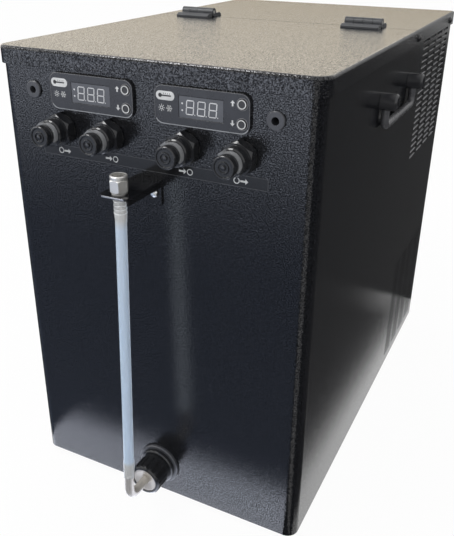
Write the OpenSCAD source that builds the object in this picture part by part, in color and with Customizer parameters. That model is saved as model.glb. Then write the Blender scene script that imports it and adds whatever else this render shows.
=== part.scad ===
// Tabletop glycol chiller with two temperature controllers, four hose ports and a sight tube.
// Casing frame used inside the modules: X to the right, Y from the front panel to the back, Z up
// from the casing's bottom edge. seat() moves it to the origin under the middle of the object.

/* [Casing] */
// Width over the side panels
body_w = 277; // [262:1:300]
// Depth from the front panel to the rear panel
body_d = 452; // [446:1:500]
// Height from the casing's bottom edge to the top of the lid
body_h = 408; // [400:1:440]
// Thickness of the folded steel sheet
sheet = 1.2; // [0.8:0.1:1.6]
// Outside radius of the two front corners
corner_r = 10.5; // [8:0.5:18]
// Thickness of the base tray
base_t = 1.5; // [1:0.1:2]
// Height of the base tray's flanges
base_flange = 12; // [10:1:13]
// Width of the return at the rear edge of a side panel
return_w = 14; // [10:1:18]
// Gap between pieces that slip into each other
fit = 0.2; // [0.1:0.05:0.3]

/* [Feet and screws] */
// Height of the rubber feet
foot_h = 8; // [6:0.5:20]
// Radius of the rubber feet
foot_r = 15; // [10:0.5:20]
// Distance of a foot's centre from the casing's sides
foot_inset = 40; // [30:1:60]
// Radius of a dome screw's head
screw_head_r = 3.8; // [3:0.1:4.5]
// Height of a dome screw's head
screw_head_h = 2.2; // [1.5:0.1:2.4]
// Radius of a screw's shank
screw_r = 1.9; // [1.4:0.1:2.2]
// Length of a screw's shank
screw_l = 7; // [5:0.5:9]

/* [Lid and rear cover] */
// Distance of the seam between lid and cover from the front panel
seam_y = 257; // [250:1:262]
// Width of that seam
seam_gap = 1; // [0.6:0.1:2]
// Depth of the skirt round the lid and the cover
skirt_h = 14; // [10:0.5:18]
// Gap between the skirt and the casing
skirt_gap = 1.3; // [0.8:0.1:2]
// Radius of the bend along the top edges
edge_r = 2.2; // [1:0.1:3]
// Radius of the cover's rear corners
cover_r = 5; // [4:0.5:10]
// Drop from the lid's top to the top edge of the casing
wall_drop = 5; // [4:0.5:7]
// Drop from the lid's top to the tank deck
deck_drop = 8; // [6:0.5:9]
// Thickness of the tank deck
deck_t = 3; // [2:0.5:4]
// Width of the lid seal
seal_w = 12; // [8:0.5:14]
// How far the lid's insulation reaches below the deck's top
plug_in = 4; // [2:0.5:8]
// Side gap between the lid's insulation and the tank
plug_gap = 4; // [3:0.5:8]
// Gap between pieces that move past each other
run_gap = 0.3; // [0.2:0.05:0.5]
// Distance of the cover's front screws behind the seam
cover_screw_in = 6.5; // [6:0.5:12]
// Distance of the cover's rear screws ahead of the rear panel
cover_screw_back = 25; // [20:1:40]
// Drop from the lid's top to the cover's screws
cover_screw_drop = 8; // [7.4:0.1:9.5]

/* [Hinges] */
// Distance of a hinge's middle from the middle of the pair
hinge_x = 91; // [70:1:96]
// How far the pair sits to the left of the centre line
hinge_left = 3; // [0:0.5:4]
// Width of a hinge
hinge_w = 37; // [30:1:45]
// Reach of a leaf from the pin
leaf_len = 16; // [14:1:26]
// Thickness of a leaf
leaf_t = 3.6; // [2.5:0.1:3.8]
// Radius of the barrel
barrel_r = 4.2; // [4:0.1:5]
// Number of knuckles
knuckles = 4; // [4:2:6]
// Radius of the hinge pin
hinge_pin_r = 1.6; // [1:0.1:2]
// Running gap round the hinge pin
pin_gap = 0.06; // [0.03:0.01:0.1]

/* [Controllers] */
// Distance of a controller's middle from the centre line
ctrl_x = 48; // [44:0.5:50]
// Drop from the lid's top to the controllers' middle
ctrl_drop = 30.5; // [29:0.5:33]
// Width of the bezel
ctrl_w = 77; // [75:0.5:86]
// Height of the bezel
ctrl_h = 28.5; // [26:0.5:30]
// Corner radius of the bezel
ctrl_r = 6.5; // [2:0.5:8]
// Height of the bezel over the panel
ctrl_t = 2.6; // [2.4:0.1:6]
// Width of the housing behind the panel
case_w = 71; // [60:0.5:72]
// Height of the housing behind the panel
case_h = 22; // [18:0.5:24]
// Depth of the housing behind the panel
case_d = 55; // [30:1:56]
// Width of the display window
window_w = 36; // [30:0.5:40]
// Height of the display window
window_h = 16; // [12:0.5:18]
// Depth of the window's recess
window_in = 1.2; // [0.8:0.1:2]
// Radius of a button
button_r = 3.6; // [3:0.1:4]
// Distance of the buttons from the bezel's right end
button_in = 6; // [5.5:0.5:9]
// Distance of a button above or below the bezel's middle
button_dz = 7; // [5:0.5:8]
// Travel of a button
button_travel = 0.5; // [0.4:0.1:0.7]
// Height of a button over the bezel
button_proud = 1; // [0.9:0.1:1.5]
// Length of a button inside the bezel
button_len = 1; // [0.8:0.1:1.2]

/* [Probe sockets] */
// Distance of a socket from the centre line
probe_x = 105; // [102:0.5:112]
// Drop from the lid's top to the sockets
probe_drop = 32.4; // [28:0.1:36]
// Radius of the socket's flange
probe_flange_r = 7; // [6:0.1:8]
// Thickness of the socket's flange
probe_flange_t = 2; // [1:0.1:3]
// Radius of the socket's barrel
probe_barrel_r = 5; // [4:0.1:5.5]
// Radius of the socket's bore
probe_bore_r = 2.9; // [2:0.1:3.2]
// Length of the socket behind the panel
probe_len = 12; // [8:0.5:20]

/* [Hose ports] */
// Distance of the inner ports from the centre line
port_x_in = 33.5; // [31:0.5:36]
// Distance of the outer ports from the centre line
port_x_out = 79.5; // [74:0.5:82]
// Drop from the lid's top to the ports
port_drop = 61.5; // [61:0.5:66]
// Thickness of the seal under a port
port_seal_t = 1; // [0.5:0.1:2]
// Width across the flats of a port's hexagon
port_hex = 24; // [21:0.5:26]
// Length of the hexagon
port_hex_l = 8.5; // [6:0.5:10]
// Radius of the port's body
port_r = 10.6; // [9.5:0.1:12]
// Length of the port's body
port_l = 8; // [5:0.5:10]
// Radius of the threaded shank
shank_r = 8.5; // [7.6:0.1:9]
// Length of the shank behind the panel
shank_l = 14; // [9:0.5:18]
// Thickness of the nut behind the panel
nut_t = 5; // [3:0.5:8]
// Radius of the collet's sleeve
collet_r = 6.3; // [5.8:0.1:6.6]
// Radius of the collet's flange
collet_flange_r = 8; // [7.2:0.1:9]
// Thickness of the collet's flange
collet_flange_t = 2; // [1:0.1:3]
// Depth of the collet in the body
collet_in = 10; // [6:0.5:14]
// Width of the locking clip
clip_t = 3.8; // [2:0.1:5]
// Outside radius of the locking clip
clip_r = 9; // [8.5:0.1:11]
// Length of the clip's legs below the port's axis
clip_leg = 5; // [3:0.5:5.4]
// Height of the clip's finger tab
clip_tab = 1.2; // [1:0.1:4]
// Radius of a plug's stem, and of the tube that goes there
stem_r = 4.75; // [4:0.05:5]
// Depth of a plug's stem in the port, from the front of the body
stem_in = 14; // [8:0.5:16]
// Radius of a plug's knob
knob_r = 8.6; // [7:0.1:9]
// Length of a plug's knob
knob_l = 6; // [4:0.5:8]
// Radius of the ring on a knob's face
knob_ring_r = 4.2; // [3:0.1:5]
// Depth of the groove in a knob's face
knob_groove = 0.9; // [0.4:0.1:1.5]

/* [Sight tube] */
// Drop from the lid's top to the bracket's plate
bracket_drop = 90; // [86:0.5:94]
// Width of the bracket
bracket_w = 25; // [22:0.5:34]
// Reach of the bracket in front of the panel
bracket_l = 48.5; // [47:0.5:60]
// Thickness of the bracket
bracket_t = 2; // [1.5:0.1:3]
// Height of the bracket's flange on the panel
bracket_flange = 18; // [16:0.5:24]
// Distance of the tube's axis in front of the panel
tube_y = 39.3; // [38:0.1:41]
// How far the tube's lower end stands in front of its upper end
tube_lean = 10.5; // [4:0.5:12]
// Outside radius of the clear tube
tube_r = 4.4; // [4:0.05:6]
// Bore radius of the clear tube
tube_bore_r = 3.1; // [2.8:0.05:3.4]
// Length of the hose barb in the tube
barb_l = 15; // [12:1:30]
// Widening of the tube's ends over the barbs
tube_flare = 0.4; // [0.2:0.05:0.5]
// Width across the flats of the swivel nut
swivel_hex = 12.7; // [12.4:0.1:16]
// Length of the swivel nut's hexagon
swivel_hex_l = 9.6; // [8:0.1:14]
// Length of the swivel nut's collar
swivel_collar_l = 3.2; // [2.4:0.1:8]
// Radius of the swivel nut's collar
swivel_collar_r = 6.6; // [6.2:0.1:7]
// Bore radius of the swivel nut's thread
swivel_bore_r = 5; // [4.8:0.1:5.2]

/* [Drain] */
// Height of the drain above the casing's bottom edge
drain_z = 31.3; // [31:0.1:40]
// Radius of the rubber washer
washer_r = 20.5; // [18:0.5:26]
// Thickness of the rubber washer
washer_t = 3; // [2:0.5:4]
// Radius of the drain body's rim
rim_r = 17.5; // [16.5:0.5:18]
// Thickness of the drain body's rim
rim_t = 4; // [2:0.5:6]
// Radius of the drain body's thread
drain_r = 12.6; // [12.5:0.1:13]
// Length of the cap nut
cap_l = 20; // [16:0.5:21]
// Radius of the cap nut, without its ribs
cap_r = 14.6; // [14.3:0.1:15.5]
// Number of ribs on the cap nut
cap_ribs = 16; // [12:2:20]
// Height of a rib
cap_rib_h = 0.7; // [0.4:0.1:1]
// Width of a rib
cap_rib_w = 2.8; // [1:0.1:3]
// Radius of the steel disc in the cap nut
disc_r = 11.6; // [9:0.1:11.8]
// Radius of the steel elbow's pipe
elbow_r = 4; // [3.6:0.1:4.4]
// Bend radius of the steel elbow
elbow_bend = 11; // [9:0.5:12]
// Height of the clear tube's lower end above the casing's bottom edge
tube_low = 56; // [54:1:80]
// Bore radius of the drain
drain_bore_r = 4.6; // [3:0.1:5]
// Radius of the drain's pipe to the tank
drain_tail_r = 6; // [5.6:0.1:7]

/* [Side handles] */
// Distance of a handle's middle from the front panel
handle_y = 202; // [120:1:230]
// Drop from the lid's top to the ears
handle_drop = 46; // [34:0.5:80]
// Distance between a handle's two ears
handle_span = 100; // [80:1:130]
// Radius of an ear
ear_r = 7.5; // [6.5:0.1:10]
// Reach of an ear from the side panel
ear_l = 14.6; // [12:0.1:20]
// Radius of the bail's bar
bail_r = 3.5; // [2.5:0.1:3.6]
// Drop of the bail from its pins to its grip
bail_drop = 21.5; // [18:0.5:45]
// Bend radius of the bail's corners
bail_bend = 7; // [5:0.5:12]
// Gap between the bail and the side panel
bail_gap = 1; // [0.6:0.1:2]
// Radius of a bail pin
bail_pin_r = 1.7; // [1.2:0.1:2]

/* [Side vents] */
// Distance of the vents from the front panel
vent_y = 306; // [290:1:310]
// Number of slot rows in a vent
slot_rows = 20; // [10:1:20]
// Slots in a row
slot_cols = 4; // [2:1:4]
// Distance from one slot row to the next
slot_pitch = 6.4; // [5:0.1:6.6]
// Height of a slot
slot_h = 3; // [2:0.1:3.2]
// Length of a slot
slot_l = 28.5; // [20:0.5:30]
// Gap between the slots of a row
slot_gap = 5.5; // [3:0.5:6]
// Drop from the lid's top to the highest slot row of the upper vent
slot_drop = 17; // [16:0.5:30]
// Height of the lower vent's lowest slot row above the casing's bottom edge
slot_low = 14.5; // [14:0.5:30]

/* [Tank] */
// Distance of the tank from the front panel
tank_y = 80; // [76:1:82]
// Width inside the tank
tank_w = 224; // [214:1:224]
// Depth inside the tank
tank_d = 156; // [150:1:158]
// Thickness of the tank's wall
tank_t = 2; // [1.5:0.1:3]
// Corner radius inside the tank
tank_r = 12; // [6:0.5:16]
// Height of the tank's floor above the casing's bottom edge
tank_floor = 25; // [20:0.5:26]
// Distance of the insulation from the front panel
foam_y = 62; // [60:1:66]
// Outside radius of the tank's hoses
hose_r = 6; // [5:0.1:6.5]
// Bore radius of the tank's hoses
hose_bore_r = 4; // [3.4:0.1:4.2]
// Bend radius of the hoses
hose_bend = 24; // [18:1:26]
// Distance of the hoses' drop behind the tank's front wall
hose_drop_y = 30; // [28:1:36]
// Radius of a pump's volute
pump_r = 23; // [18:0.5:23]
// Height of a pump's volute
pump_volute_h = 22; // [16:1:28]
// Radius of a pump's motor
pump_motor_r = 19; // [14:0.5:20]
// Height of a pump's motor
pump_motor_h = 50; // [30:1:60]

/* [Evaporator coil] */
// Radius of the coil's tube
coil_r = 4; // [3:0.1:4.5]
// Gap between the coil and the tank's wall
coil_gap = 8; // [6:0.5:9]
// Number of turns
coil_turns = 12; // [6:1:12]
// Rise from one turn to the next
coil_pitch = 22; // [16:0.5:22]
// Bend radius at the coil's corners
coil_bend = 22; // [16:1:30]
// Height of the lowest turn above the tank's floor
coil_low = 36; // [30:1:38]

/* [Refrigeration] */
// Radius of the compressor's shell
comp_r = 55; // [45:1:58]
// Height of the compressor's shell
comp_h = 135; // [110:1:150]
// Distance of the compressor to the left of the centre line
comp_x = 45; // [40:1:55]
// Height of the compressor's rubber mounts
mount_h = 14; // [8:1:20]
// Thickness of the condenser
cond_t = 38; // [30:1:42]
// Depth of the condenser
cond_d = 144; // [130:1:146]
// Height of the condenser
cond_h = 160; // [140:1:160]
// Number of fins
cond_fins = 24; // [10:1:30]
// Number of tubes through the fins, an even number
cond_tubes = 6; // [4:2:6]
// Radius of the fan
fan_r = 62; // [50:1:63]
// Number of fan blades
fan_blades = 5; // [3:1:7]
// Radius of the fan's motor
motor_r = 24; // [18:1:28]
// Length of the fan's motor
motor_l = 36; // [24:1:44]
// Radius of the refrigerant lines
line_r = 3.5; // [2.5:0.1:4]
// Bend radius of the refrigerant lines
line_bend = 9; // [8:0.5:10]
// Width of the power inlet's recess
inlet_w = 24; // [20:0.5:28]
// Height of the power inlet's recess
inlet_h = 16.5; // [14:0.5:20]
// Depth of the power inlet's recess
inlet_in = 16; // [12:0.5:20]

/* [Hidden] */
$fn = 48;
coat = "#26262a";
moulded = "#1b1b1d";
steel = "#c4c6c8";
copper = "#b3743f";

half_w = body_w / 2;
inner_x = half_w - sheet;
over = skirt_gap + sheet;
lid_under = body_h - sheet;
deck_top = body_h - deck_drop;
deck_low = deck_top - deck_t;
wall_top = body_h - wall_drop;
skirt_low = body_h - skirt_h;
lid_end = seam_y - seam_gap / 2;
cover_start = seam_y + seam_gap / 2;
axis_z = body_h + barrel_r + run_gap;
part_y = cover_start + fit;
rear_y0 = part_y + sheet;
rear_y1 = body_d - 2 * sheet;
rear_mid = (rear_y0 + rear_y1) / 2;
part_flange = 12;
cover_screws_y = [cover_start + cover_screw_in, body_d - cover_screw_back];
cover_screw_z = body_h - cover_screw_drop;
rear_screw_z = [40, body_h / 2, body_h - 40];
rear_screw_x = inner_x - return_w / 2;

ctrl_z = body_h - ctrl_drop;
window_x = 0;
button_x = ctrl_w / 2 - button_in;
button_floor = button_len + 2 * button_travel;
lens_t = window_in - fit;

probe_z = body_h - probe_drop;

port_z = body_h - port_drop;
port_xs = [-port_x_out, -port_x_in, port_x_in, port_x_out];
hex_front = -port_seal_t - port_hex_l;
body_end = hex_front - port_l;
clip_play = 0.2;
flange_back = body_end - clip_t - 2 * clip_play;
flange_front = flange_back - collet_flange_t;
knob_back = flange_front - run_gap;
knob_tip = knob_back - knob_l;
flow_r = 3;
barb_play = 0.1;
hose_start = sheet + shank_l;
port_barb_l = 16;
clip_bore = collet_r + fit;

plate_z = body_h - bracket_drop;
plate_low = plate_z - bracket_t;
flare_l = barb_l + 1;
flare_run = 10;
knee_in = 2;
tube_top = plate_low - fit;
tube_knee = tube_top - flare_l + knee_in;
tube_slope = tube_lean / (tube_knee - tube_low);
lean = atan(tube_slope);
tube_low_y = tube_y + tube_lean;
elbow_corner = tube_low_y + tube_slope * (tube_low - drain_z);
elbow_front = elbow_corner + elbow_r + elbow_bend * (1 - tan(45 + lean / 2));
front_reach = max(bracket_l, elbow_front);
body_front = (front_reach - body_d - over) / 2;
stem_shank_r = 4;
stem_flange_r = 6;
stem_flange_t = 1;
stem_neck_r = 3.4;
stem_head_r = 4.6;
stem_head_t = 2.5;
nut_low = plate_z + stem_flange_t + run_gap;
nut_web = 2.5;
nut_groove = 1;
head_low = nut_low + nut_web + run_gap;
thread_low = head_low + stem_head_t + run_gap;
nut_top = nut_low + swivel_hex_l + swivel_collar_l;
barb_r = tube_bore_r + tube_flare - barb_play;
barbs = 4;

drain_nut_wall = 6;
rim_front = -washer_t - rim_t;
cap_back = rim_front - fit;
cap_front = cap_back - cap_l;
cap_lip = 2;
disc_back_t = 2;
disc_dish = 1.5;
drain_body_end = cap_front + cap_lip + disc_back_t + 2 * fit;

handle_z = body_h - handle_drop;
bail_x = half_w + bail_gap + bail_r;
ear_slot = bail_r + run_gap;

tank_back = tank_y + tank_d;
tank_mid = tank_y + tank_d / 2;
foam_x = inner_x - base_t - 2 * fit;
hose_y = tank_y + hose_drop_y;
spigot_h = pump_volute_h + 16;
pump_y = hose_y + pump_r + 9;
pump_x = tank_w / 2 - coil_gap - 2 * coil_r - pump_r - 1;

coil_hx = tank_w / 2 - coil_gap - coil_r;
coil_y0 = tank_y + coil_gap + coil_r;
coil_y1 = tank_back - coil_gap - coil_r;
coil_z0 = tank_floor + coil_low;
coil_z1 = coil_z0 + coil_turns * coil_pitch;
coil_lead = 30;
coil_sides = 8;
corner_rings = 6;

line_y = rear_y0 + line_r + line_bend;
line_x = coil_lead + line_bend + 2 * coil_r;
comp_plate_t = 3;
comp_z = base_t + mount_h + comp_plate_t;
comp_suction_z = comp_z + comp_h * 0.7;
comp_discharge_z = comp_z + comp_h * 0.8;
comp_stub_y = rear_mid - comp_r - 5;
comp_suction_x = -line_x;
comp_discharge_x = 25 - comp_x;
grommet_r = 9;
comp_plate = [2 * comp_r + 20, 2 * comp_r - 10];
cond_x0 = inner_x - cond_t;
cond_y0 = rear_mid - cond_d / 2;
cond_z0 = body_h - slot_drop - cond_h;
cond_plate_t = 1.5;
fin_t = 0.6;
fin_set_back = 4;
tube_pitch = cond_h / cond_tubes;
cond_tube_x = cond_x0 + cond_t / 2;
fan_z = cond_z0 + cond_h / 2;
shroud_t = 2;
shroud_depth = 12;
shroud_x = cond_x0 - shroud_depth;
ring_gap = 3;
ring_l = 14;
strut_w = 8;
strut_t = 3;
motor_front = shroud_x - ring_l - 4;
fan_shaft_r = 3;
hub_r = 18;
hub_l = 12;
drier_r = 10;
drier_l = 80;
drier_z = comp_z + comp_h * 0.55;
inlet_x = -85;
inlet_z = 62;
inlet_wall = 1.6;
inlet_flange = [inlet_w + 24, inlet_h + 7];
inlet_flange_t = 2.2;

// Shared shapes

module seat() {
    translate([0, body_front, foot_h]) children();
}

module both_sides() {
    children();
    mirror([1, 0, 0]) children();
}

// Plan view of a sheet with two round corners at the end nearest the front
module front_plan(w, y0, y1, r) {
    translate([-w / 2, y0 + r]) square([w, y1 - y0 - r]);
    translate([-w / 2 + r, y0]) square([w - 2 * r, r]);
    for (s = [-1, 1])
        translate([s * (w / 2 - r), y0 + r]) circle(r);
}

module round_rect(w, d, r) {
    translate([-w / 2, -d / 2 + r]) square([w, d - 2 * r]);
    translate([-w / 2 + r, -d / 2]) square([w - 2 * r, d]);
    for (sx = [-1, 1], sy = [-1, 1])
        translate([sx * (w / 2 - r), sy * (d / 2 - r)]) circle(r);
}

module y_cylinder(r, y0, y1) {
    translate([0, y0, 0]) rotate([-90, 0, 0]) cylinder(r = r, h = y1 - y0);
}

module x_cylinder(r, x0, x1) {
    translate([x0, 0, 0]) rotate([0, 90, 0]) cylinder(r = r, h = x1 - x0);
}

// A profile of radius and Y, turned about the Y axis
module y_turned() {
    rotate([-90, 0, 0]) rotate_extrude() children();
}

// Hexagonal bar along Y with a corner pointing up
module y_hexagon(flats, y0, y1) {
    translate([0, y0, 0]) rotate([-90, 0, 0]) rotate([0, 0, 30])
        cylinder(r = flats / sqrt(3), h = y1 - y0, $fn = 6);
}

function unit(v) = v / norm(v);

// Distance from a corner of a path to where its bend starts, for a bend radius of one
function half_turn(points, i) =
    tan(acos(unit(points[i] - points[i - 1]) * unit(points[i + 1] - points[i])) / 2);

// Round bar along a list of points, with bends of one radius at the inner points
module bent_bar(points, r, bend) {
    last = len(points) - 1;
    for (i = [0 : last - 1]) {
        a = points[i];
        b = points[i + 1];
        d = unit(b - a);
        start = i == 0 ? a : a + d * bend * half_turn(points, i);
        stop = i == last - 1 ? b : b - d * bend * half_turn(points, i + 1);
        turn = [0, acos(d[2]), atan2(d[1], d[0])];
        translate(start) rotate(turn) cylinder(r = r, h = norm(stop - start));
    }
    for (i = [1 : last - 1]) {
        u = unit(points[i] - points[i - 1]);
        v = unit(points[i + 1] - points[i]);
        w = unit(v - u * (u * v));
        n = cross(u, w);
        c = points[i] - u * bend * half_turn(points, i) + w * bend;
        multmatrix([
            [-w[0], u[0], n[0], c[0]],
            [-w[1], u[1], n[1], c[1]],
            [-w[2], u[2], n[2], c[2]],
            [0, 0, 0, 1]
        ])
            rotate_extrude(angle = acos(u * v)) translate([bend, 0]) circle(r);
    }
}

// Dome screw along +Z, its head's seat at zero
module dome_screw() {
    ball = (screw_head_r * screw_head_r + screw_head_h * screw_head_h) / (2 * screw_head_h);
    intersection() {
        translate([0, 0, screw_head_h - ball]) sphere(ball);
        cylinder(r = screw_head_r + 1, h = screw_head_h + 1);
    }
    translate([0, 0, -screw_l]) cylinder(r = screw_r, h = screw_l);
}

module screw_hole(depth) {
    translate([0, 0, -depth]) cylinder(r = screw_r + fit, h = 2 * depth);
}

module at_cover_screws() {
    for (y = cover_screws_y, s = [-1, 1])
        translate([s * (half_w + over), y, cover_screw_z]) rotate([0, s * 90, 0]) children();
}

module at_rear_screws() {
    for (z = rear_screw_z, s = [-1, 1])
        translate([s * rear_screw_x, body_d, z]) rotate([-90, 0, 0]) children();
}

module at_bracket_screws() {
    for (s = [-1, 1])
        translate([s * bracket_w / 4, -bracket_t, plate_low - bracket_flange / 2])
            rotate([90, 0, 0]) children();
}

// Casing

module base_tray() {
    x_in = inner_x - fit;
    y_in = sheet + fit;
    y_out = body_d - sheet - fit;
    color(coat) seat() {
        linear_extrude(base_t) front_plan(2 * x_in, y_in, y_out, corner_r - sheet - fit);
        both_sides()
            translate([x_in - base_t, corner_r, 0])
                cube([base_t, body_d - corner_r - 2 * return_w, base_flange]);
        for (y = [y_in, y_out - base_t])
            translate([-half_w + corner_r + return_w, y, 0])
                cube([body_w - 2 * corner_r - 2 * return_w, base_t, base_flange]);
    }
}

module controller_cut(play) {
    for (s = [-1, 1])
        translate([s * ctrl_x, 0, ctrl_z])
            cube([case_w + 2 * play, 4 * corner_r, case_h + 2 * play], center = true);
}

module front_panel() {
    color(coat) seat() difference() {
        linear_extrude(wall_top) difference() {
            intersection() {
                front_plan(body_w, 0, body_d, corner_r);
                translate([-half_w, 0]) square([body_w, corner_r]);
            }
            front_plan(2 * inner_x, sheet, body_d, corner_r - sheet);
        }
        controller_cut(fit);
        for (x = port_xs)
            translate([x, 0, port_z]) y_cylinder(shank_r + fit, -1, sheet + 1);
        for (s = [-1, 1])
            translate([s * probe_x, 0, probe_z]) y_cylinder(probe_barrel_r + fit, -1, sheet + 1);
        translate([0, 0, drain_z]) y_cylinder(drain_r + fit, -1, sheet + 1);
        at_bracket_screws() screw_hole(screw_l + 1);
    }
}

module slot_field(top) {
    for (row = [0 : slot_rows - 1], col = [0 : slot_cols - 1])
        translate([vent_y + col * (slot_l + slot_gap), top - row * slot_pitch]) {
            translate([slot_h / 2, -slot_h / 2]) square([slot_l - slot_h, slot_h]);
            translate([slot_h / 2, 0]) circle(slot_h / 2);
            translate([slot_l - slot_h / 2, 0]) circle(slot_h / 2);
        }
}

module side_panel() {
    rotate([90, 0, 90]) translate([0, 0, inner_x]) linear_extrude(sheet) difference() {
        translate([corner_r, 0]) square([body_d - corner_r, wall_top]);
        slot_field(body_h - slot_drop);
        slot_field(slot_low + (slot_rows - 1) * slot_pitch);
        for (y = cover_screws_y)
            translate([y, cover_screw_z]) circle(screw_r + fit);
    }
    translate([inner_x - return_w, body_d - 2 * sheet, base_flange]) difference() {
        cube([return_w, sheet, wall_top - base_flange]);
        for (z = rear_screw_z)
            translate([return_w / 2, 0, z - base_flange]) y_cylinder(screw_r + fit, -1, sheet + 1);
    }
}

module side_panel_right() {
    color(coat) seat() side_panel();
}

module side_panel_left() {
    color(coat) seat() mirror([1, 0, 0]) side_panel();
}

module rear_panel() {
    x_in = inner_x - fit;
    color(coat) seat() difference() {
        translate([-x_in, body_d - sheet, 0]) cube([2 * x_in, sheet, lid_under]);
        at_rear_screws() screw_hole(screw_l + 1);
        translate([inlet_x, body_d, inlet_z])
            cube([inlet_w + 2 * inlet_wall + 2 * fit, 4 * sheet,
                  inlet_h + 2 * inlet_wall + 2 * fit], center = true);
    }
}

module partition() {
    color("#8f9194") seat() difference() {
        union() {
            translate([-inner_x + fit, part_y, base_t])
                cube([2 * (inner_x - fit), sheet, lid_under - base_t]);
            translate([-inner_x + fit, part_y, lid_under - sheet])
                cube([2 * (inner_x - fit), part_flange, sheet]);
        }
        for (s = [-1, 1])
            translate([s * (inner_x - base_t / 2 - fit), part_y, base_flange / 2])
                cube([base_t + 4 * fit, 4 * sheet, base_flange + 4 * fit], center = true);
        wall_pipes(fit);
    }
}

// Stretches of the two refrigerant lines that cross the partition, the foam and the tank's wall
module wall_pipes(play) {
    for (end = [[-line_x, coil_z1], [line_x, coil_z0]])
        translate([end[0], 0, end[1]]) y_cylinder(line_r + play, coil_y1, line_y);
}

// Pressed sheet cap: layers of the plan drawn in along a quarter round make the bent top edge
edge_steps = 3;
function edge_in(i) = edge_r * (1 - cos(90 * i / edge_steps));
function edge_up(i) = edge_r * (sin(90 * i / edge_steps) - 1);
layer_t = 0.01;

module lid() {
    w = body_w + 2 * over;
    r = corner_r + over;
    color(coat) seat() difference() {
        hull() {
            translate([0, 0, skirt_low]) linear_extrude(layer_t) front_plan(w, -over, lid_end, r);
            for (i = [0 : edge_steps])
                translate([0, 0, body_h + edge_up(i) - layer_t]) linear_extrude(layer_t)
                    front_plan(w - 2 * edge_in(i), edge_in(i) - over, lid_end, r - edge_in(i));
        }
        translate([0, 0, skirt_low - 1]) linear_extrude(lid_under - skirt_low + 1)
            front_plan(w - 2 * sheet, sheet - over, lid_end + 1, r - sheet);
    }
}

module rear_plan(w, y1, r) {
    translate([0, cover_start + y1]) mirror([0, 1]) front_plan(w, cover_start, y1, r);
}

module rear_cover() {
    w = body_w + 2 * over;
    y1 = body_d + over;
    color(coat) seat() difference() {
        hull() {
            translate([0, 0, skirt_low]) linear_extrude(layer_t) rear_plan(w, y1, cover_r);
            for (i = [0 : edge_steps])
                translate([0, 0, body_h + edge_up(i) - layer_t]) linear_extrude(layer_t)
                    rear_plan(w - 2 * edge_in(i), y1 - edge_in(i), cover_r - edge_in(i));
        }
        translate([0, -1, skirt_low - 1]) linear_extrude(lid_under - skirt_low + 1)
            rear_plan(w - 2 * sheet, y1 - sheet + 1, cover_r - sheet);
        at_cover_screws() screw_hole(screw_l + 1);
    }
}

module lid_insulation() {
    color("#d9d9d4") seat() translate([0, tank_mid, deck_top - plug_in])
        linear_extrude(lid_under - deck_top + plug_in)
            round_rect(tank_w - 2 * plug_gap, tank_d - 2 * plug_gap, tank_r - plug_gap / 2);
}

module lid_seal() {
    color("#3a3a3c") seat() translate([0, tank_mid, deck_top + run_gap])
        linear_extrude(lid_under - deck_top - run_gap) difference() {
            round_rect(tank_w + seal_w, tank_d + seal_w, tank_r + seal_w / 2);
            round_rect(tank_w - seal_w / 2, tank_d - seal_w / 2, tank_r - seal_w / 4);
        }
}

module feet() {
    rim = 1.5;
    dimple_r = 5;
    dimple = 3;
    color("#151515") seat() for (sx = [-1, 1], y = [foot_inset, body_d - foot_inset])
        translate([sx * (half_w - foot_inset), y, -foot_h]) rotate_extrude() polygon([
            [0, dimple], [dimple_r, dimple], [dimple_r, 0], [foot_r - rim, 0], [foot_r, rim],
            [foot_r - rim, foot_h], [0, foot_h]
        ]);
}

module casing_screws() {
    color("#101011") seat() {
        at_cover_screws() dome_screw();
        at_rear_screws() dome_screw();
        at_bracket_screws() dome_screw();
    }
}

// Hinges

knuckle_w = hinge_w / knuckles;

// One leaf reaching towards -Y from the pin, with every second knuckle
module hinge_leaf(first) {
    bevel = leaf_t * 0.55;
    clear_y = barrel_r + run_gap;
    leaf_y = clear_y + run_gap;
    low = -barrel_r - run_gap;
    rotate([90, 0, 90]) translate([0, 0, -hinge_w / 2]) linear_extrude(hinge_w) polygon([
        [-leaf_len, low], [-leaf_y, low], [-leaf_y, low + leaf_t],
        [-leaf_len + bevel * 2, low + leaf_t], [-leaf_len, low + leaf_t - bevel]
    ]);
    for (i = [first : 2 : knuckles - 1])
        translate([-hinge_w / 2 + i * knuckle_w + run_gap / 2, 0, 0])
            rotate([90, 0, 90]) linear_extrude(knuckle_w - run_gap) difference() {
                union() {
                    circle(barrel_r);
                    translate([-leaf_y, low]) square([leaf_y, leaf_t]);
                }
                circle(hinge_pin_r + pin_gap);
                translate([-fit, low - 1]) square([barrel_r, 1 + run_gap]);
            }
}

module at_hinges() {
    for (s = [-1, 1])
        translate([s * hinge_x - hinge_left, seam_y, axis_z]) children();
}

module hinge_lid_leaves() {
    color(moulded) seat() at_hinges() hinge_leaf(0);
}

module hinge_cover_leaves() {
    color(moulded) seat() at_hinges() rotate([0, 0, 180]) hinge_leaf(0);
}

module hinge_pins() {
    color(steel) seat() at_hinges() x_cylinder(hinge_pin_r, -hinge_w / 2, hinge_w / 2);
}

// Controllers

module at_controllers() {
    for (s = [-1, 1])
        translate([s * ctrl_x, 0, ctrl_z]) children();
}

module controllers() {
    color(moulded) seat() at_controllers() difference() {
        union() {
            rotate([90, 0, 0]) linear_extrude(ctrl_t) round_rect(ctrl_w, ctrl_h, ctrl_r);
            translate([-case_w / 2, 0, -case_h / 2]) cube([case_w, case_d, case_h]);
        }
        translate([window_x - window_w / 2, -ctrl_t - 1, -window_h / 2])
            cube([window_w, window_in + 1, window_h]);
        for (s = [-1, 1])
            translate([button_x, 0, s * button_dz])
                y_cylinder(button_r + fit, -ctrl_t - 1, -ctrl_t + button_floor);
    }
}

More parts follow.
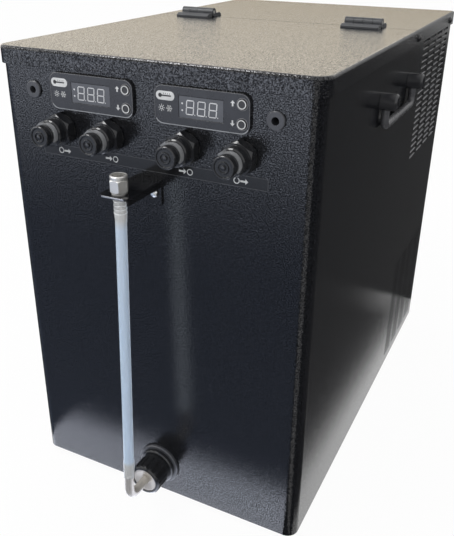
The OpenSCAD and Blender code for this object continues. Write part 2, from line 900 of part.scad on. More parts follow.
module display_lenses() {
    color("#3d4046") seat() at_controllers()
        translate([window_x - window_w / 2 + fit / 2, -ctrl_t + window_in - lens_t, fit / 2 - window_h / 2])
            cube([window_w - fit, lens_t, window_h - fit]);
}

module button(side, level) {
    dish = 0.3;
    color("#2b2b2e") seat()
        translate([side * ctrl_x + button_x, -ctrl_t, ctrl_z + level * button_dz]) y_turned() polygon([
            [0, -button_proud + dish], [button_r - 1.2, -button_proud + dish],
            [button_r - 0.8, -button_proud], [button_r - 0.3, -button_proud],
            [button_r, -button_proud + 0.3], [button_r, button_len], [0, button_len]
        ]);
}

module button_left_up() { button(-1, 1); }
module button_left_down() { button(-1, -1); }
module button_right_up() { button(1, 1); }
module button_right_down() { button(1, -1); }

module probe_sockets() {
    round = 0.6;
    color("#55575b") seat() for (s = [-1, 1])
        translate([s * probe_x, 0, probe_z]) y_turned() polygon([
            [probe_bore_r, -probe_flange_t], [probe_flange_r - round, -probe_flange_t],
            [probe_flange_r, -probe_flange_t + round], [probe_flange_r, 0], [probe_barrel_r, 0],
            [probe_barrel_r, probe_len], [probe_bore_r, probe_len]
        ]);
}

// Hose ports

module at_ports() {
    for (x = port_xs)
        translate([x, 0, port_z]) children();
}

module bulkhead_fittings() {
    chamfer = 2;
    flat_r = port_hex / 2;
    tip_r = port_hex / sqrt(3);
    barb_end = hose_start + port_barb_l;
    color(moulded) seat() at_ports() difference() {
        union() {
            intersection() {
                y_hexagon(port_hex, hex_front, -port_seal_t);
                y_turned() polygon([
                    [0, hex_front], [flat_r, hex_front], [tip_r, hex_front + chamfer],
                    [tip_r, -port_seal_t], [0, -port_seal_t]
                ]);
            }
            y_turned() polygon([
                [0, hex_front + 1], [0, body_end], [port_r - 1, body_end], [port_r, body_end + 1],
                [port_r, hex_front + 1]
            ]);
            y_cylinder(shank_r, -port_seal_t - 1, hose_start);
            y_cylinder(hose_bore_r - barb_play, hose_start - 1, barb_end);
        }
        y_cylinder(collet_r + fit, body_end - 1, body_end + collet_in + fit);
        y_cylinder(stem_r + barb_play, body_end, body_end + stem_in + fit);
        y_cylinder(flow_r, body_end, barb_end + 1);
    }
}

module fitting_seals() {
    color("#141414") seat() at_ports() y_turned()
        translate([shank_r + fit, -port_seal_t]) square([port_hex / 2 - shank_r, port_seal_t]);
}

module panel_nuts() {
    color(moulded) seat() {
        at_ports() difference() {
            y_hexagon(port_hex, sheet, sheet + nut_t);
            y_cylinder(shank_r + fit, 0, sheet + nut_t + 1);
        }
        translate([0, 0, drain_z]) difference() {
            y_hexagon(2 * drain_r + drain_nut_wall, sheet, sheet + nut_t);
            y_cylinder(drain_r + fit, 0, sheet + nut_t + 1);
        }
    }
}

module fitting_collets() {
    color("#202022") seat() at_ports() y_turned() polygon([
        [stem_r + barb_play, flange_front], [collet_flange_r - 0.4, flange_front],
        [collet_flange_r, flange_front + 0.4], [collet_flange_r, flange_back], [collet_r, flange_back],
        [collet_r, body_end + collet_in], [stem_r + barb_play, body_end + collet_in]
    ]);
}

module plug(index) {
    edge = 0.6;
    lip = 1.6;
    nub_r = 1.7;
    color("#2a2a2d") seat() translate([port_xs[index], 0, port_z]) y_turned() polygon([
        [0, knob_tip - 0.4], [nub_r, knob_tip - 0.2], [nub_r, knob_tip + knob_groove],
        [knob_ring_r - 1, knob_tip + knob_groove], [knob_ring_r - 0.8, knob_tip],
        [knob_ring_r, knob_tip], [knob_ring_r + 0.3, knob_tip + knob_groove],
        [knob_r - lip - 0.4, knob_tip + knob_groove], [knob_r - lip, knob_tip],
        [knob_r - edge, knob_tip], [knob_r, knob_tip + edge], [knob_r, knob_back - edge],
        [knob_r - edge, knob_back], [stem_r, knob_back], [stem_r, body_end + stem_in - edge],
        [stem_r - edge, body_end + stem_in], [0, body_end + stem_in]
    ]);
}

module plug_out_left() { plug(0); }
module plug_in_left() { plug(1); }
module plug_in_right() { plug(2); }
module plug_out_right() { plug(3); }

// Horseshoe that slips down over the collet and holds its flange off the body
module clip(index) {
    tab_w = 5;
    color("#c9cacc") seat() translate([port_xs[index], flange_back + clip_play + clip_t, port_z])
        rotate([90, 0, 0]) linear_extrude(clip_t) difference() {
            union() {
                circle(clip_r);
                rotate(40) translate([-tab_w / 2, 0]) square([tab_w, clip_r + clip_tab]);
            }
            circle(clip_bore);
            translate([-clip_bore, -clip_r]) square([2 * clip_bore, clip_r]);
            translate([-clip_r, -clip_leg - clip_r]) square([2 * clip_r, clip_r]);
        }
}

module clip_out_left() { clip(0); }
module clip_in_left() { clip(1); }
module clip_in_right() { clip(2); }
module clip_out_right() { clip(3); }

// Sight tube

module gauge_bracket() {
    tip_r = 3;
    color(coat) seat() difference() {
        union() {
            translate([0, 0, plate_low]) linear_extrude(bracket_t)
                front_plan(bracket_w, -bracket_l, 0, tip_r);
            translate([-bracket_w / 2, -bracket_t, plate_low - bracket_flange])
                cube([bracket_w, bracket_t, bracket_flange + bracket_t]);
        }
        translate([0, -tube_y, plate_low - 1]) cylinder(r = stem_shank_r + fit / 2, h = bracket_t + 2);
        at_bracket_screws() screw_hole(screw_l + 1);
    }
}

module hose_barb() {
    bore = 2;
    barb_pitch = barb_l / barbs;
    root_r = barb_r - 0.5;
    low = plate_low - barb_l;
    color(steel) seat() translate([0, -tube_y, 0]) rotate_extrude() polygon(concat(
        [[bore, low]],
        [for (i = [0 : barbs - 1], p = [[root_r, 0], [barb_r, 0.75]]) [p[0], low + (i + p[1]) * barb_pitch]],
        [
            [barb_r, plate_low - fit], [stem_shank_r, plate_low - fit], [stem_shank_r, plate_z],
            [stem_flange_r, plate_z], [stem_flange_r, plate_z + stem_flange_t],
            [stem_neck_r, plate_z + stem_flange_t], [stem_neck_r, head_low], [stem_head_r, head_low],
            [stem_head_r, head_low + 1], [bore + 0.6, head_low + stem_head_t],
            [bore, head_low + stem_head_t]
        ]
    ));
}

module swivel_nut() {
    chamfer = 1;
    edge = 0.5;
    groove_r = swivel_collar_r - 0.6;
    hex_top = nut_low + swivel_hex_l;
    tip_r = swivel_hex / sqrt(3);
    color(steel) seat() translate([0, -tube_y, 0]) difference() {
        union() {
            intersection() {
                translate([0, 0, nut_low]) cylinder(r = tip_r, h = swivel_hex_l, $fn = 6);
                rotate_extrude() polygon([
                    [0, nut_low], [swivel_hex / 2, nut_low], [tip_r, nut_low + chamfer],
                    [tip_r, hex_top - chamfer], [swivel_hex / 2, hex_top], [0, hex_top]
                ]);
            }
            rotate_extrude() polygon([
                [0, hex_top - 1], [groove_r, hex_top - 1], [groove_r, hex_top + nut_groove],
                [swivel_collar_r, hex_top + nut_groove], [swivel_collar_r, nut_top - edge],
                [swivel_collar_r - edge, nut_top], [0, nut_top]
            ]);
        }
        translate([0, 0, nut_low - 1]) cylinder(r = stem_neck_r + run_gap, h = nut_web + 2);
        translate([0, 0, nut_low + nut_web])
            cylinder(r = swivel_bore_r + run_gap, h = thread_low - nut_low - nut_web);
        translate([0, 0, thread_low - 1]) cylinder(r = swivel_bore_r, h = nut_top - thread_low + 2);
    }
}

// Moves from the frame of the tube's lower end, where Z runs up along the leaning tube
module at_tube_low() {
    translate([0, -tube_low_y, tube_low]) rotate([-lean, 0, 0]) children();
}

// Solid round the tube's axis, wider over the barbs and longer by extra at both ends
module tube_form(r, extra) {
    flare = [
        [0, -extra], [r + tube_flare, -extra], [r + tube_flare, flare_l],
        [r / 2, flare_l + (r / 2 + tube_flare) * flare_run], [0, flare_l + (r / 2 + tube_flare) * flare_run]
    ];
    at_tube_low() {
        rotate_extrude() polygon(flare);
        translate([0, 0, knee_in]) cylinder(r = r, h = (tube_knee - tube_low) / cos(lean) - knee_in);
    }
    translate([0, -tube_y, tube_top]) mirror([0, 0, 1]) rotate_extrude() polygon(flare);
}

// Clear tube, stretched over the barb at each end
module sight_tube() {
    color("#cfdbe6") seat() difference() {
        tube_form(tube_r, 0);
        tube_form(tube_bore_r, 2);
    }
}

// Drain

module drain_elbow() {
    pipe_bore = 2.2;
    sleeve = 0.15;
    disc_front = cap_front + 0.6;
    sleeve_l = (tube_low - drain_z) / cos(lean) - elbow_bend * tan(45 + lean / 2) + 1;
    corner = [0, -elbow_corner, drain_z];
    bend_end = [0, -tube_low_y - 2 * sin(lean), tube_low - 2 * cos(lean)];
    color(steel) seat() difference() {
        union() {
            bent_bar([[0, drain_body_end - 2 * fit, drain_z], corner, bend_end], elbow_r, elbow_bend);
            at_tube_low() {
                translate([0, 0, -sleeve_l]) cylinder(r = elbow_r + sleeve, h = sleeve_l);
                translate([0, 0, -1]) cylinder(r = barb_r, h = barb_l + 1);
            }
            translate([0, 0, drain_z]) y_turned() polygon([
                [0, disc_front + disc_dish], [elbow_r + 1, disc_front + disc_dish],
                [disc_r - 1.6, disc_front], [disc_r, disc_front], [disc_r, cap_front + cap_lip + fit],
                [drain_r, cap_front + cap_lip + fit], [drain_r, drain_body_end - fit],
                [0, drain_body_end - fit]
            ]);
        }
        bent_bar([[0, drain_body_end + 1, drain_z], corner, bend_end], pipe_bore, elbow_bend);
        at_tube_low() translate([0, 0, -sleeve_l])
            cylinder(r = pipe_bore + sleeve, h = sleeve_l + barb_l + 1);
    }
}

module drain_cap_nut() {
    color(moulded) seat() translate([0, 0, drain_z]) difference() {
        union() {
            y_turned() polygon([
                [0, cap_front], [cap_r - 1.2, cap_front], [cap_r, cap_front + 1.2], [cap_r, cap_back],
                [0, cap_back]
            ]);
            for (i = [0 : cap_ribs - 1])
                rotate([0, 360 * i / cap_ribs, 0]) translate([-cap_rib_w / 2, cap_front + 2, cap_r - 1])
                    cube([cap_rib_w, cap_l - 6, 1 + cap_rib_h]);
        }
        y_cylinder(disc_r + fit, cap_front - 1, cap_back + 1);
        y_cylinder(drain_r + fit, cap_front + cap_lip, cap_back + 1);
    }
}

module drain_bulkhead() {
    tail_start = sheet + nut_t + 4;
    color(moulded) seat() translate([0, 0, drain_z]) difference() {
        y_turned() polygon([
            [0, drain_body_end], [drain_r, drain_body_end], [drain_r, rim_front], [rim_r - 1, rim_front],
            [rim_r, rim_front + 1], [rim_r, -washer_t], [drain_r, -washer_t], [drain_r, tail_start],
            [drain_tail_r, tail_start], [drain_tail_r, tank_y + 2], [0, tank_y + 2]
        ]);
        y_cylinder(drain_bore_r, drain_body_end - 1, tank_y + 3);
    }
}

module drain_washer() {
    color("#121212") seat() translate([0, 0, drain_z]) y_turned() polygon([
        [drain_r + fit, -washer_t], [washer_r - 1, -washer_t], [washer_r, -washer_t + 1], [washer_r, 0],
        [drain_r + fit, 0]
    ]);
}

// Side handles

module at_ears() {
    for (s = [-1, 1])
        translate([0, handle_y + s * handle_span / 2, handle_z]) children();
}

module ear() {
    round = 1.5;
    difference() {
        translate([half_w, 0, 0]) rotate([0, 90, 0]) rotate_extrude() polygon([
            [0, 0], [ear_r, 0], [ear_r, ear_l - round], [ear_r - round, ear_l], [0, ear_l]
        ]);
        translate([half_w + bail_gap - run_gap, -ear_slot, -2 * ear_r])
            cube([2 * ear_l, 2 * ear_slot, 2 * ear_r + bail_r + run_gap]);
    }
    translate([bail_x, 0, 0]) y_cylinder(bail_pin_r, -ear_slot - 0.5, ear_slot + 0.5);
}

module handle_ears() {
    color(moulded) seat() both_sides() at_ears() ear();
}

module bail() {
    y0 = handle_y - handle_span / 2;
    y1 = handle_y + handle_span / 2;
    low = handle_z - bail_drop;
    route = [[bail_x, y0, handle_z], [bail_x, y0, low], [bail_x, y1, low], [bail_x, y1, handle_z]];
    difference() {
        union() {
            bent_bar(route, bail_r, bail_bend);
            at_ears() translate([bail_x, 0, 0]) y_cylinder(bail_r, -bail_r, bail_r);
        }
        at_ears() translate([bail_x, 0, 0]) y_cylinder(bail_pin_r + pin_gap, -2 * bail_r, 2 * bail_r);
    }
}

module handle_bail_right() {
    color("#2e2e31") seat() bail();
}

module handle_bail_left() {
    color("#2e2e31") seat() mirror([1, 0, 0]) bail();
}

// Tank

module tank_block(grow, low, high) {
    translate([0, tank_mid, low]) linear_extrude(high - low)
        round_rect(tank_w + 2 * grow, tank_d + 2 * grow, tank_r + grow);
}

// Holes for the hoses, the drain and the refrigerant lines
module tank_passages() {
    at_ports() y_cylinder(hose_r + fit, foam_y - 1, tank_y + tank_r);
    translate([0, 0, drain_z]) y_cylinder(drain_tail_r + fit, foam_y - 1, tank_y + tank_r);
    wall_pipes(fit);
}

module tank() {
    color("#dfe3e6") seat() difference() {
        tank_block(tank_t, tank_floor - tank_t, deck_low);
        tank_block(0, tank_floor, deck_low + 1);
        tank_passages();
    }
}

module tank_deck() {
    gap = sheet + fit;
    color("#2b2c2e") seat() translate([0, 0, deck_low]) linear_extrude(deck_t) difference() {
        front_plan(body_w - 2 * gap, gap, part_y - fit, corner_r - gap);
        translate([0, tank_mid]) round_rect(tank_w, tank_d, tank_r);
    }
}

module tank_insulation() {
    color("#e6dcb8") seat() difference() {
        translate([-foam_x, foam_y, base_t]) cube([2 * foam_x, part_y - foam_y, deck_low - base_t]);
        tank_block(tank_t, tank_floor - tank_t, deck_low + 1);
        tank_passages();
    }
}

// Evaporator coil: one tube round the tank's inside, rising steadily from turn to turn

coil_flat_x = coil_hx - coil_bend;
coil_flat_y = (coil_y1 - coil_y0) / 2 - coil_bend;
coil_quarter = PI * coil_bend / 2;
coil_round = 4 * (coil_flat_x + coil_flat_y + coil_quarter);
corner_starts = [
    0, 2 * coil_flat_y, 2 * coil_flat_y + 2 * coil_flat_x, 4 * coil_flat_y + 2 * coil_flat_x
];

function corner_point(turn, corner, step) =
    let (
        angle = 90 + 90 * corner + 90 * step / (corner_rings - 1),
        side = corner < 2 ? -1 : 1,
        end = corner == 0 || corner == 3 ? 1 : -1,
        along = coil_flat_x + corner_starts[corner] + (corner + step / (corner_rings - 1)) * coil_quarter
    )
    [
        side * coil_flat_x + coil_bend * cos(angle),
        tank_mid + end * coil_flat_y + coil_bend * sin(angle),
        coil_z0 + coil_pitch * (turn + along / coil_round)
    ];

coil_path = concat(
    [[coil_lead, coil_y1, coil_z0], [0, coil_y1, coil_z0]],
    [for (turn = [0 : coil_turns - 1], corner = [0 : 3], step = [0 : corner_rings - 1])
        corner_point(turn, corner, step)],
    [[0, coil_y1, coil_z1], [-coil_lead, coil_y1, coil_z1]]
);

function tube_ring(path, i, r) =
    let (
        before = path[max(i - 1, 0)],
        after = path[min(i + 1, len(path) - 1)],
        forward = unit(i == 0 ? after - path[0] : i == len(path) - 1 ? path[i] - before
                       : unit(after - path[i]) + unit(path[i] - before)),
        side = unit(cross(forward, [0, 0, 1])),
        up = cross(side, forward)
    )
    [for (k = [0 : coil_sides - 1])
        path[i] + r * (cos(360 * k / coil_sides) * side + sin(360 * k / coil_sides) * up)];

module swept_tube(path, r) {
    n = coil_sides;
    rings = len(path);
    points = [for (i = [0 : rings - 1]) each tube_ring(path, i, r)];
    walls = [for (i = [0 : rings - 2], k = [0 : n - 1], half = [0, 1])
        let (a = i * n + k, b = i * n + (k + 1) % n)
        half == 0 ? [a, a + n, b] : [b, a + n, b + n]];
    start_cap = [for (k = [1 : n - 2]) [0, k, k + 1]];
    end_cap = [for (k = [1 : n - 2]) (rings - 1) * n * [1, 1, 1] + [0, k + 1, k]];
    polyhedron(points, concat(walls, start_cap, end_cap));
}

module evaporator_coil() {
    turn_rings = 4 * corner_rings;
    gaps = [for (i = [0 : len(coil_path) - 1 - turn_rings], j = [i + turn_rings / 2 : len(coil_path) - 1])
        norm(coil_path[i] - coil_path[j]) - 2 * coil_r];
    echo(coil_least_gap = min(gaps));
    color(copper) seat() swept_tube(coil_path, coil_r);
}

module pumps() {
    outlet_r = hose_bore_r - barb_play;
    cap_h = 3;
    arm_r = 6;
    base = tank_floor;
    arm = [port_x_out - pump_x, hose_y - pump_y];
    color("#2f3a44") seat() both_sides() difference() {
        union() {
            translate([pump_x, pump_y, base]) rotate_extrude() polygon([
                [0, 0], [pump_r, 0], [pump_r, pump_volute_h - cap_h], [pump_r - cap_h, pump_volute_h],
                [pump_motor_r, pump_volute_h], [pump_motor_r, pump_volute_h + pump_motor_h - cap_h],
                [pump_motor_r - cap_h, pump_volute_h + pump_motor_h], [0, pump_volute_h + pump_motor_h]
            ]);
            translate([pump_x, pump_y, base + pump_volute_h / 2])
                rotate([0, 90, atan2(arm[1], arm[0])]) cylinder(r = arm_r, h = norm(arm));
            translate([port_x_out, hose_y, base + pump_volute_h / 2 - arm_r])
                cylinder(r = arm_r, h = spigot_h - pump_volute_h / 2 + arm_r - 10);
            translate([port_x_out, hose_y, base + pump_volute_h / 2])
                cylinder(r = outlet_r, h = spigot_h - pump_volute_h / 2);
        }
        translate([port_x_out, hose_y, base + pump_volute_h / 2]) cylinder(r = flow_r, h = spigot_h);
    }
}

// Pump hoses turn down to the pumps; return hoses end inside the tank
module tank_hoses() {
    hose_end = tank_floor + spigot_h - 10;
    supply = [
        [port_x_out, hose_start, port_z], [port_x_out, hose_y, port_z], [port_x_out, hose_y, hose_end]
    ];
    color("#e8ecec") seat() both_sides() {
        difference() {
            bent_bar(supply, hose_r, hose_bend);
            bent_bar([supply[0] - [0, 1, 0], supply[1], supply[2] - [0, 0, 1]], hose_bore_r, hose_bend);
        }
        translate([port_x_in, 0, port_z]) difference() {
            y_cylinder(hose_r, hose_start, tank_y + hose_drop_y / 2);
            y_cylinder(hose_bore_r, hose_start - 1, tank_y + hose_drop_y);
        }
    }
}

// Refrigeration

module at_comp_mounts() {
    for (sx = [-1, 1], sy = [-1, 1])
        translate([-comp_x + sx * (comp_plate[0] / 2 - grommet_r - 1),
                   rear_mid + sy * (comp_plate[1] / 2 - grommet_r - 1), base_t]) children();
}

module compressor() {
    dome = 0.32 * comp_r;
    steps = 6;
    seam_r = comp_r + 2;
    foot_step = 8;
    color("#161618") seat() {
        translate([-comp_x - comp_plate[0] / 2, rear_mid - comp_plate[1] / 2, comp_z - comp_plate_t])
            cube([comp_plate[0], comp_plate[1], comp_plate_t]);
        translate([-comp_x, rear_mid, comp_z - 1]) rotate_extrude() polygon(concat(
            [[0, 0], [comp_r - foot_step, 0], [comp_r, foot_step], [comp_r, comp_h * 0.5],
             [seam_r, comp_h * 0.5], [seam_r, comp_h * 0.5 + 5], [comp_r, comp_h * 0.5 + 5]],
            [for (i = [0 : steps])
                [comp_r - dome + dome * cos(90 * i / steps), comp_h - dome + dome * sin(90 * i / steps)]],
            [[0, comp_h]]
        ));
        translate([comp_suction_x, 0, comp_suction_z]) y_cylinder(line_r + 2, comp_stub_y, rear_mid);
        translate([comp_discharge_x, 0, comp_discharge_z])
            y_cylinder(line_r + 1.5, comp_stub_y, rear_mid);
    }
}

module compressor_mounts() {
    color("#121212") seat() at_comp_mounts() rotate_extrude() polygon([
        [0, 0], [grommet_r, 0], [grommet_r, mount_h * 0.3], [grommet_r - 2, mount_h * 0.5],
        [grommet_r, mount_h * 0.7], [grommet_r, mount_h], [0, mount_h]
    ]);
}

module condenser() {
    tube_r_cond = line_r + 1;
    y0 = cond_y0;
    y1 = cond_y0 + cond_d;
    fin_pitch = (cond_d - 2 * cond_plate_t) / (cond_fins + 1);
    function tube_z(i) = cond_z0 + (i + 0.5) * tube_pitch;
    color("#b9bcbf") seat() {
        for (y = [y0, y1 - cond_plate_t])
            translate([cond_x0, y, cond_z0]) cube([cond_t, cond_plate_t, cond_h]);
        for (i = [1 : cond_fins])
            translate([cond_x0 + fin_set_back, y0 + cond_plate_t + i * fin_pitch - fin_t / 2, cond_z0 + 2])
                cube([cond_t - 2 * fin_set_back, fin_t, cond_h - 4]);
        for (i = [0 : cond_tubes - 1])
            translate([cond_tube_x, 0, tube_z(i)]) y_cylinder(tube_r_cond, y0, y1);
        for (i = [0 : cond_tubes - 2])
            translate([cond_tube_x, i % 2 == 0 ? y1 : y0, tube_z(i) + tube_pitch / 2])
                rotate([i % 2 == 0 ? 90 : -90, 0, 90]) rotate([0, 0, -90])
                    rotate_extrude(angle = 180) translate([tube_pitch / 2, 0]) circle(tube_r_cond);
    }
}

module at_fan() {
    translate([0, rear_mid, fan_z]) children();
}

module fan_shroud() {
    ring_r = fan_r + ring_gap;
    clamp_x = motor_front - strut_w;
    arm_r = ring_r + strut_t / 2;
    color(moulded) seat() at_fan() {
        difference() {
            translate([shroud_x, -cond_d / 2, -cond_h / 2]) cube([shroud_depth, cond_d, cond_h]);
            translate([shroud_x + shroud_t, -cond_d / 2 + shroud_t, -cond_h / 2 + shroud_t])
                cube([shroud_depth, cond_d - 2 * shroud_t, cond_h - 2 * shroud_t]);
            x_cylinder(ring_r, shroud_x - 1, shroud_x + shroud_depth);
        }
        difference() {
            x_cylinder(ring_r + strut_t, shroud_x - ring_l, shroud_x + 1);
            x_cylinder(ring_r, shroud_x - ring_l - 1, shroud_x + 2);
        }
        for (a = [90, 210, 330])
            rotate([a, 0, 0]) {
                translate([clamp_x, -strut_w / 2, arm_r - strut_t / 2 + 0.4])
                    cube([shroud_x - clamp_x, strut_w, strut_t]);
                translate([clamp_x, -strut_w / 2, motor_r + 1]) cube([strut_t, strut_w, arm_r - motor_r]);
            }
        difference() {
            x_cylinder(motor_r + strut_t, clamp_x, clamp_x + strut_w);
            x_cylinder(motor_r + fit, clamp_x - 1, clamp_x + strut_w + 1);
        }
    }
}

module fan_motor() {
    round = 3;
    color("#8b8e92") seat() at_fan() difference() {
        translate([motor_front - motor_l, 0, 0]) rotate([0, 90, 0]) rotate_extrude() polygon([
            [0, 0], [motor_r - round, 0], [motor_r, round], [motor_r, motor_l - round],
            [motor_r - round, motor_l], [0, motor_l]
        ]);
        x_cylinder(fan_shaft_r + pin_gap, motor_front - motor_l / 2, motor_front + 1);
    }
}

module fan_rotor() {
    blade_t = 1.6;
    blade_pitch = 32;
    hub_x = motor_front + 2;
    blade_w = (hub_l - blade_t) / sin(blade_pitch);
    color("#3a3d40") seat() at_fan() {
        translate([hub_x, 0, 0]) rotate([0, 90, 0]) cylinder(r = hub_r, h = hub_l);
        x_cylinder(fan_shaft_r, motor_front - motor_l / 2 + 1, hub_x + 1);
        intersection() {
            for (i = [0 : fan_blades - 1])
                rotate([360 * i / fan_blades, 0, 0]) translate([hub_x + hub_l / 2, 0, hub_r - 2])
                    rotate([0, 0, 90 - blade_pitch]) translate([-blade_w / 2, -blade_t / 2, 0])
                        cube([blade_w, blade_t, fan_r]);
            x_cylinder(fan_r, hub_x - 2, hub_x + hub_l + 2);
        }
    }
}

module filter_drier() {
    neck = 8;
    color(copper) seat() translate([line_x, line_y, drier_z]) rotate_extrude() polygon([
        [0, 0], [line_r + 1, 0], [drier_r, neck], [drier_r, drier_l - neck], [line_r + 1, drier_l],
        [0, drier_l]
    ]);
}

module refrigerant_lines() {
    tube_low_z = cond_z0 + tube_pitch / 2;
    tube_high_z = cond_z0 + cond_h - tube_pitch / 2;
    color(copper) seat() {
        bent_bar([
            [-coil_lead, coil_y1, coil_z1], [-line_x, coil_y1, coil_z1], [-line_x, line_y, coil_z1],
            [comp_suction_x, line_y, comp_suction_z], [comp_suction_x, comp_stub_y, comp_suction_z]
        ], line_r, line_bend);
        bent_bar([
            [line_x, line_y, drier_z], [line_x, line_y, coil_z0], [line_x, coil_y1, coil_z0],
            [coil_lead, coil_y1, coil_z0]
        ], line_r, line_bend);
        bent_bar([
            [cond_tube_x, cond_y0, tube_low_z], [cond_tube_x, line_y, tube_low_z],
            [line_x, line_y, tube_low_z], [line_x, line_y, drier_z + drier_l]
        ], line_r, line_bend);
        bent_bar([
            [comp_discharge_x, comp_stub_y, comp_discharge_z],
            [comp_discharge_x, line_y, comp_discharge_z], [comp_discharge_x, line_y, tube_high_z],
            [cond_tube_x, line_y, tube_high_z],
            [cond_tube_x, cond_y0, tube_high_z]
        ], line_r, line_bend);
    }
}

module power_inlet() {
    blade = [2, 9, 4];
    back = body_d - inlet_in - inlet_wall;
    color("#0f0f10") seat() translate([inlet_x, 0, inlet_z]) {
        difference() {
            union() {
                translate([0, body_d + inlet_flange_t, 0]) rotate([90, 0, 0])
                    linear_extrude(inlet_flange_t) round_rect(inlet_flange[0], inlet_flange[1], 3);
                translate([-inlet_w / 2 - inlet_wall, back, -inlet_h / 2 - inlet_wall])
                    cube([inlet_w + 2 * inlet_wall, body_d - back, inlet_h + 2 * inlet_wall]);
            }
            translate([-inlet_w / 2, body_d - inlet_in, -inlet_h / 2])
                cube([inlet_w, inlet_in + inlet_flange_t + 1, inlet_h]);
        }
        for (pin = [[-7, -2], [0, 2], [7, -2]])
            translate([pin[0] - blade[0] / 2, body_d - inlet_in - 1, pin[1] - blade[2] / 2]) cube(blade);
    }
}

base_tray();
front_panel();
side_panel_left();
side_panel_right();
rear_panel();
rear_cover();
partition();
lid();
lid_insulation();
lid_seal();
hinge_lid_leaves();
hinge_cover_leaves();
hinge_pins();
feet();
casing_screws();
controllers();
display_lenses();
button_left_up();
button_left_down();
button_right_up();
button_right_down();
probe_sockets();
bulkhead_fittings();
fitting_seals();
panel_nuts();
fitting_collets();
plug_out_left();
plug_in_left();
plug_in_right();
plug_out_right();
clip_out_left();
clip_in_left();
clip_in_right();
clip_out_right();
gauge_bracket();
hose_barb();
swivel_nut();
sight_tube();
drain_elbow();
drain_cap_nut();
drain_bulkhead();
drain_washer();
handle_ears();
handle_bail_left();
handle_bail_right();
tank();
tank_deck();
tank_insulation();
evaporator_coil();
pumps();
tank_hoses();
compressor();
compressor_mounts();
condenser();
fan_shroud();
fan_motor();
fan_rotor();
filter_drier();
refrigerant_lines();
power_inlet();
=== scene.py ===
"""Looks of the tabletop glycol chiller: finishes, printed marks, small trim, stage and camera.

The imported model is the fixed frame. Every operator below dresses one group of its pieces.
"""

import math
from types import SimpleNamespace as Group

import bmesh
import bpy
from bpy.props import FloatProperty, FloatVectorProperty, PointerProperty
from mathutils import Matrix, Vector


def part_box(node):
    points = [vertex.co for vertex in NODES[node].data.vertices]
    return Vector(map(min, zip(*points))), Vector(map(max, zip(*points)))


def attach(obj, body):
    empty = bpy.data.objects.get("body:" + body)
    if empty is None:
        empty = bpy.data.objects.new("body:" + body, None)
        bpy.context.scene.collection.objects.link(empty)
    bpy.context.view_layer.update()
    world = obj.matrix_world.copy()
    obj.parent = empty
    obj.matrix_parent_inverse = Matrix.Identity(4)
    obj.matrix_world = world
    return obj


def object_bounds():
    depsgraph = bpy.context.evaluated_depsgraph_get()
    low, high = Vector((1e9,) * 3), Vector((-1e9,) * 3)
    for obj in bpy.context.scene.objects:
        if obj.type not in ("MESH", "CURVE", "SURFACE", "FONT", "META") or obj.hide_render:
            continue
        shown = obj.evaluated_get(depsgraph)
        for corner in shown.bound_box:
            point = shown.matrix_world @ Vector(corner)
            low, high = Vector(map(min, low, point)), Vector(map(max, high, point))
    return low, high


bl_info = {
    "name": "Glycol Chiller Looks",
    "version": (1, 0, 0),
    "blender": (4, 5, 0),
    "location": "View3D > Sidebar > Chiller",
    "description": "Finishes, printed marks and stage for a tabletop glycol chiller",
    "category": "Object",
}

MM = 0.001
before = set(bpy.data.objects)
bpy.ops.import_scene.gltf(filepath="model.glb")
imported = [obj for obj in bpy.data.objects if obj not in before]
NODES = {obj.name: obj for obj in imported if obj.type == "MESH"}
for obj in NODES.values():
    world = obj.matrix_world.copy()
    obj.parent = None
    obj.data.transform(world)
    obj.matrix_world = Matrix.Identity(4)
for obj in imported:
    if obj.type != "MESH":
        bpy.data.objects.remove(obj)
CAD_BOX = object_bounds()
CASING = "casing"
SIDES = {"left": -1, "right": 1}
PORTS = ("out_left", "in_left", "in_right", "out_right")


# Sizes and colours that a user would change

LENGTH = {"subtype": "DISTANCE", "unit": "LENGTH"}
COLOR = {"subtype": "COLOR", "size": 3, "min": 0, "max": 1}


class CoatSettings(bpy.types.PropertyGroup):
    """Black textured powder coat of the casing."""

    color: FloatVectorProperty(
        name="Coat colour", description="Base colour of the powder coat", **COLOR,
        default=(0.0072, 0.0076, 0.0092))
    roughness: FloatProperty(
        name="Coat roughness", description="Roughness between the grains", min=0.02, max=1,
        subtype="FACTOR", default=0.1)
    grain: FloatProperty(
        name="Grain size", description="Distance from one orange-peel bump to the next", **LENGTH,
        min=0.0005, max=0.01, default=1.1 * MM)
    relief: FloatProperty(
        name="Grain height", description="Height of the orange-peel bumps", **LENGTH, min=0,
        max=0.002, default=0.075 * MM)
    shine: FloatVectorProperty(
        name="Shine", description="Specular level in the pits and on the bumps", size=2, min=0,
        max=2, default=(0.12, 1.22))
    edge: FloatProperty(
        name="Edge rounding", description="Radius over which coated edges catch the light",
        **LENGTH, min=0, max=0.004, default=0.5 * MM)


class MarkSettings(bpy.types.PropertyGroup):
    """Printed marks on the controllers and under the ports."""

    ink: FloatVectorProperty(
        name="Ink", description="Colour of the white print", **COLOR, default=(0.62, 0.63, 0.64))
    segment: FloatVectorProperty(
        name="Digit segments", description="Colour of the unlit digit segments", **COLOR,
        default=(0.6, 0.61, 0.63))
    digit_height: FloatProperty(
        name="Digit height", description="Height of a display digit", **LENGTH, min=0.004,
        max=0.014, default=10 * MM)
    digit_width: FloatProperty(
        name="Digit width", description="Width of a display digit", **LENGTH, min=0.003, max=0.009,
        default=5.8 * MM)
    digit_pitch: FloatProperty(
        name="Digit pitch", description="Distance from one digit to the next", **LENGTH, min=0.005,
        max=0.012, default=9.2 * MM)
    line: FloatProperty(
        name="Line width", description="Width of the printed lines", **LENGTH, min=0.0002,
        max=0.002, default=0.75 * MM)


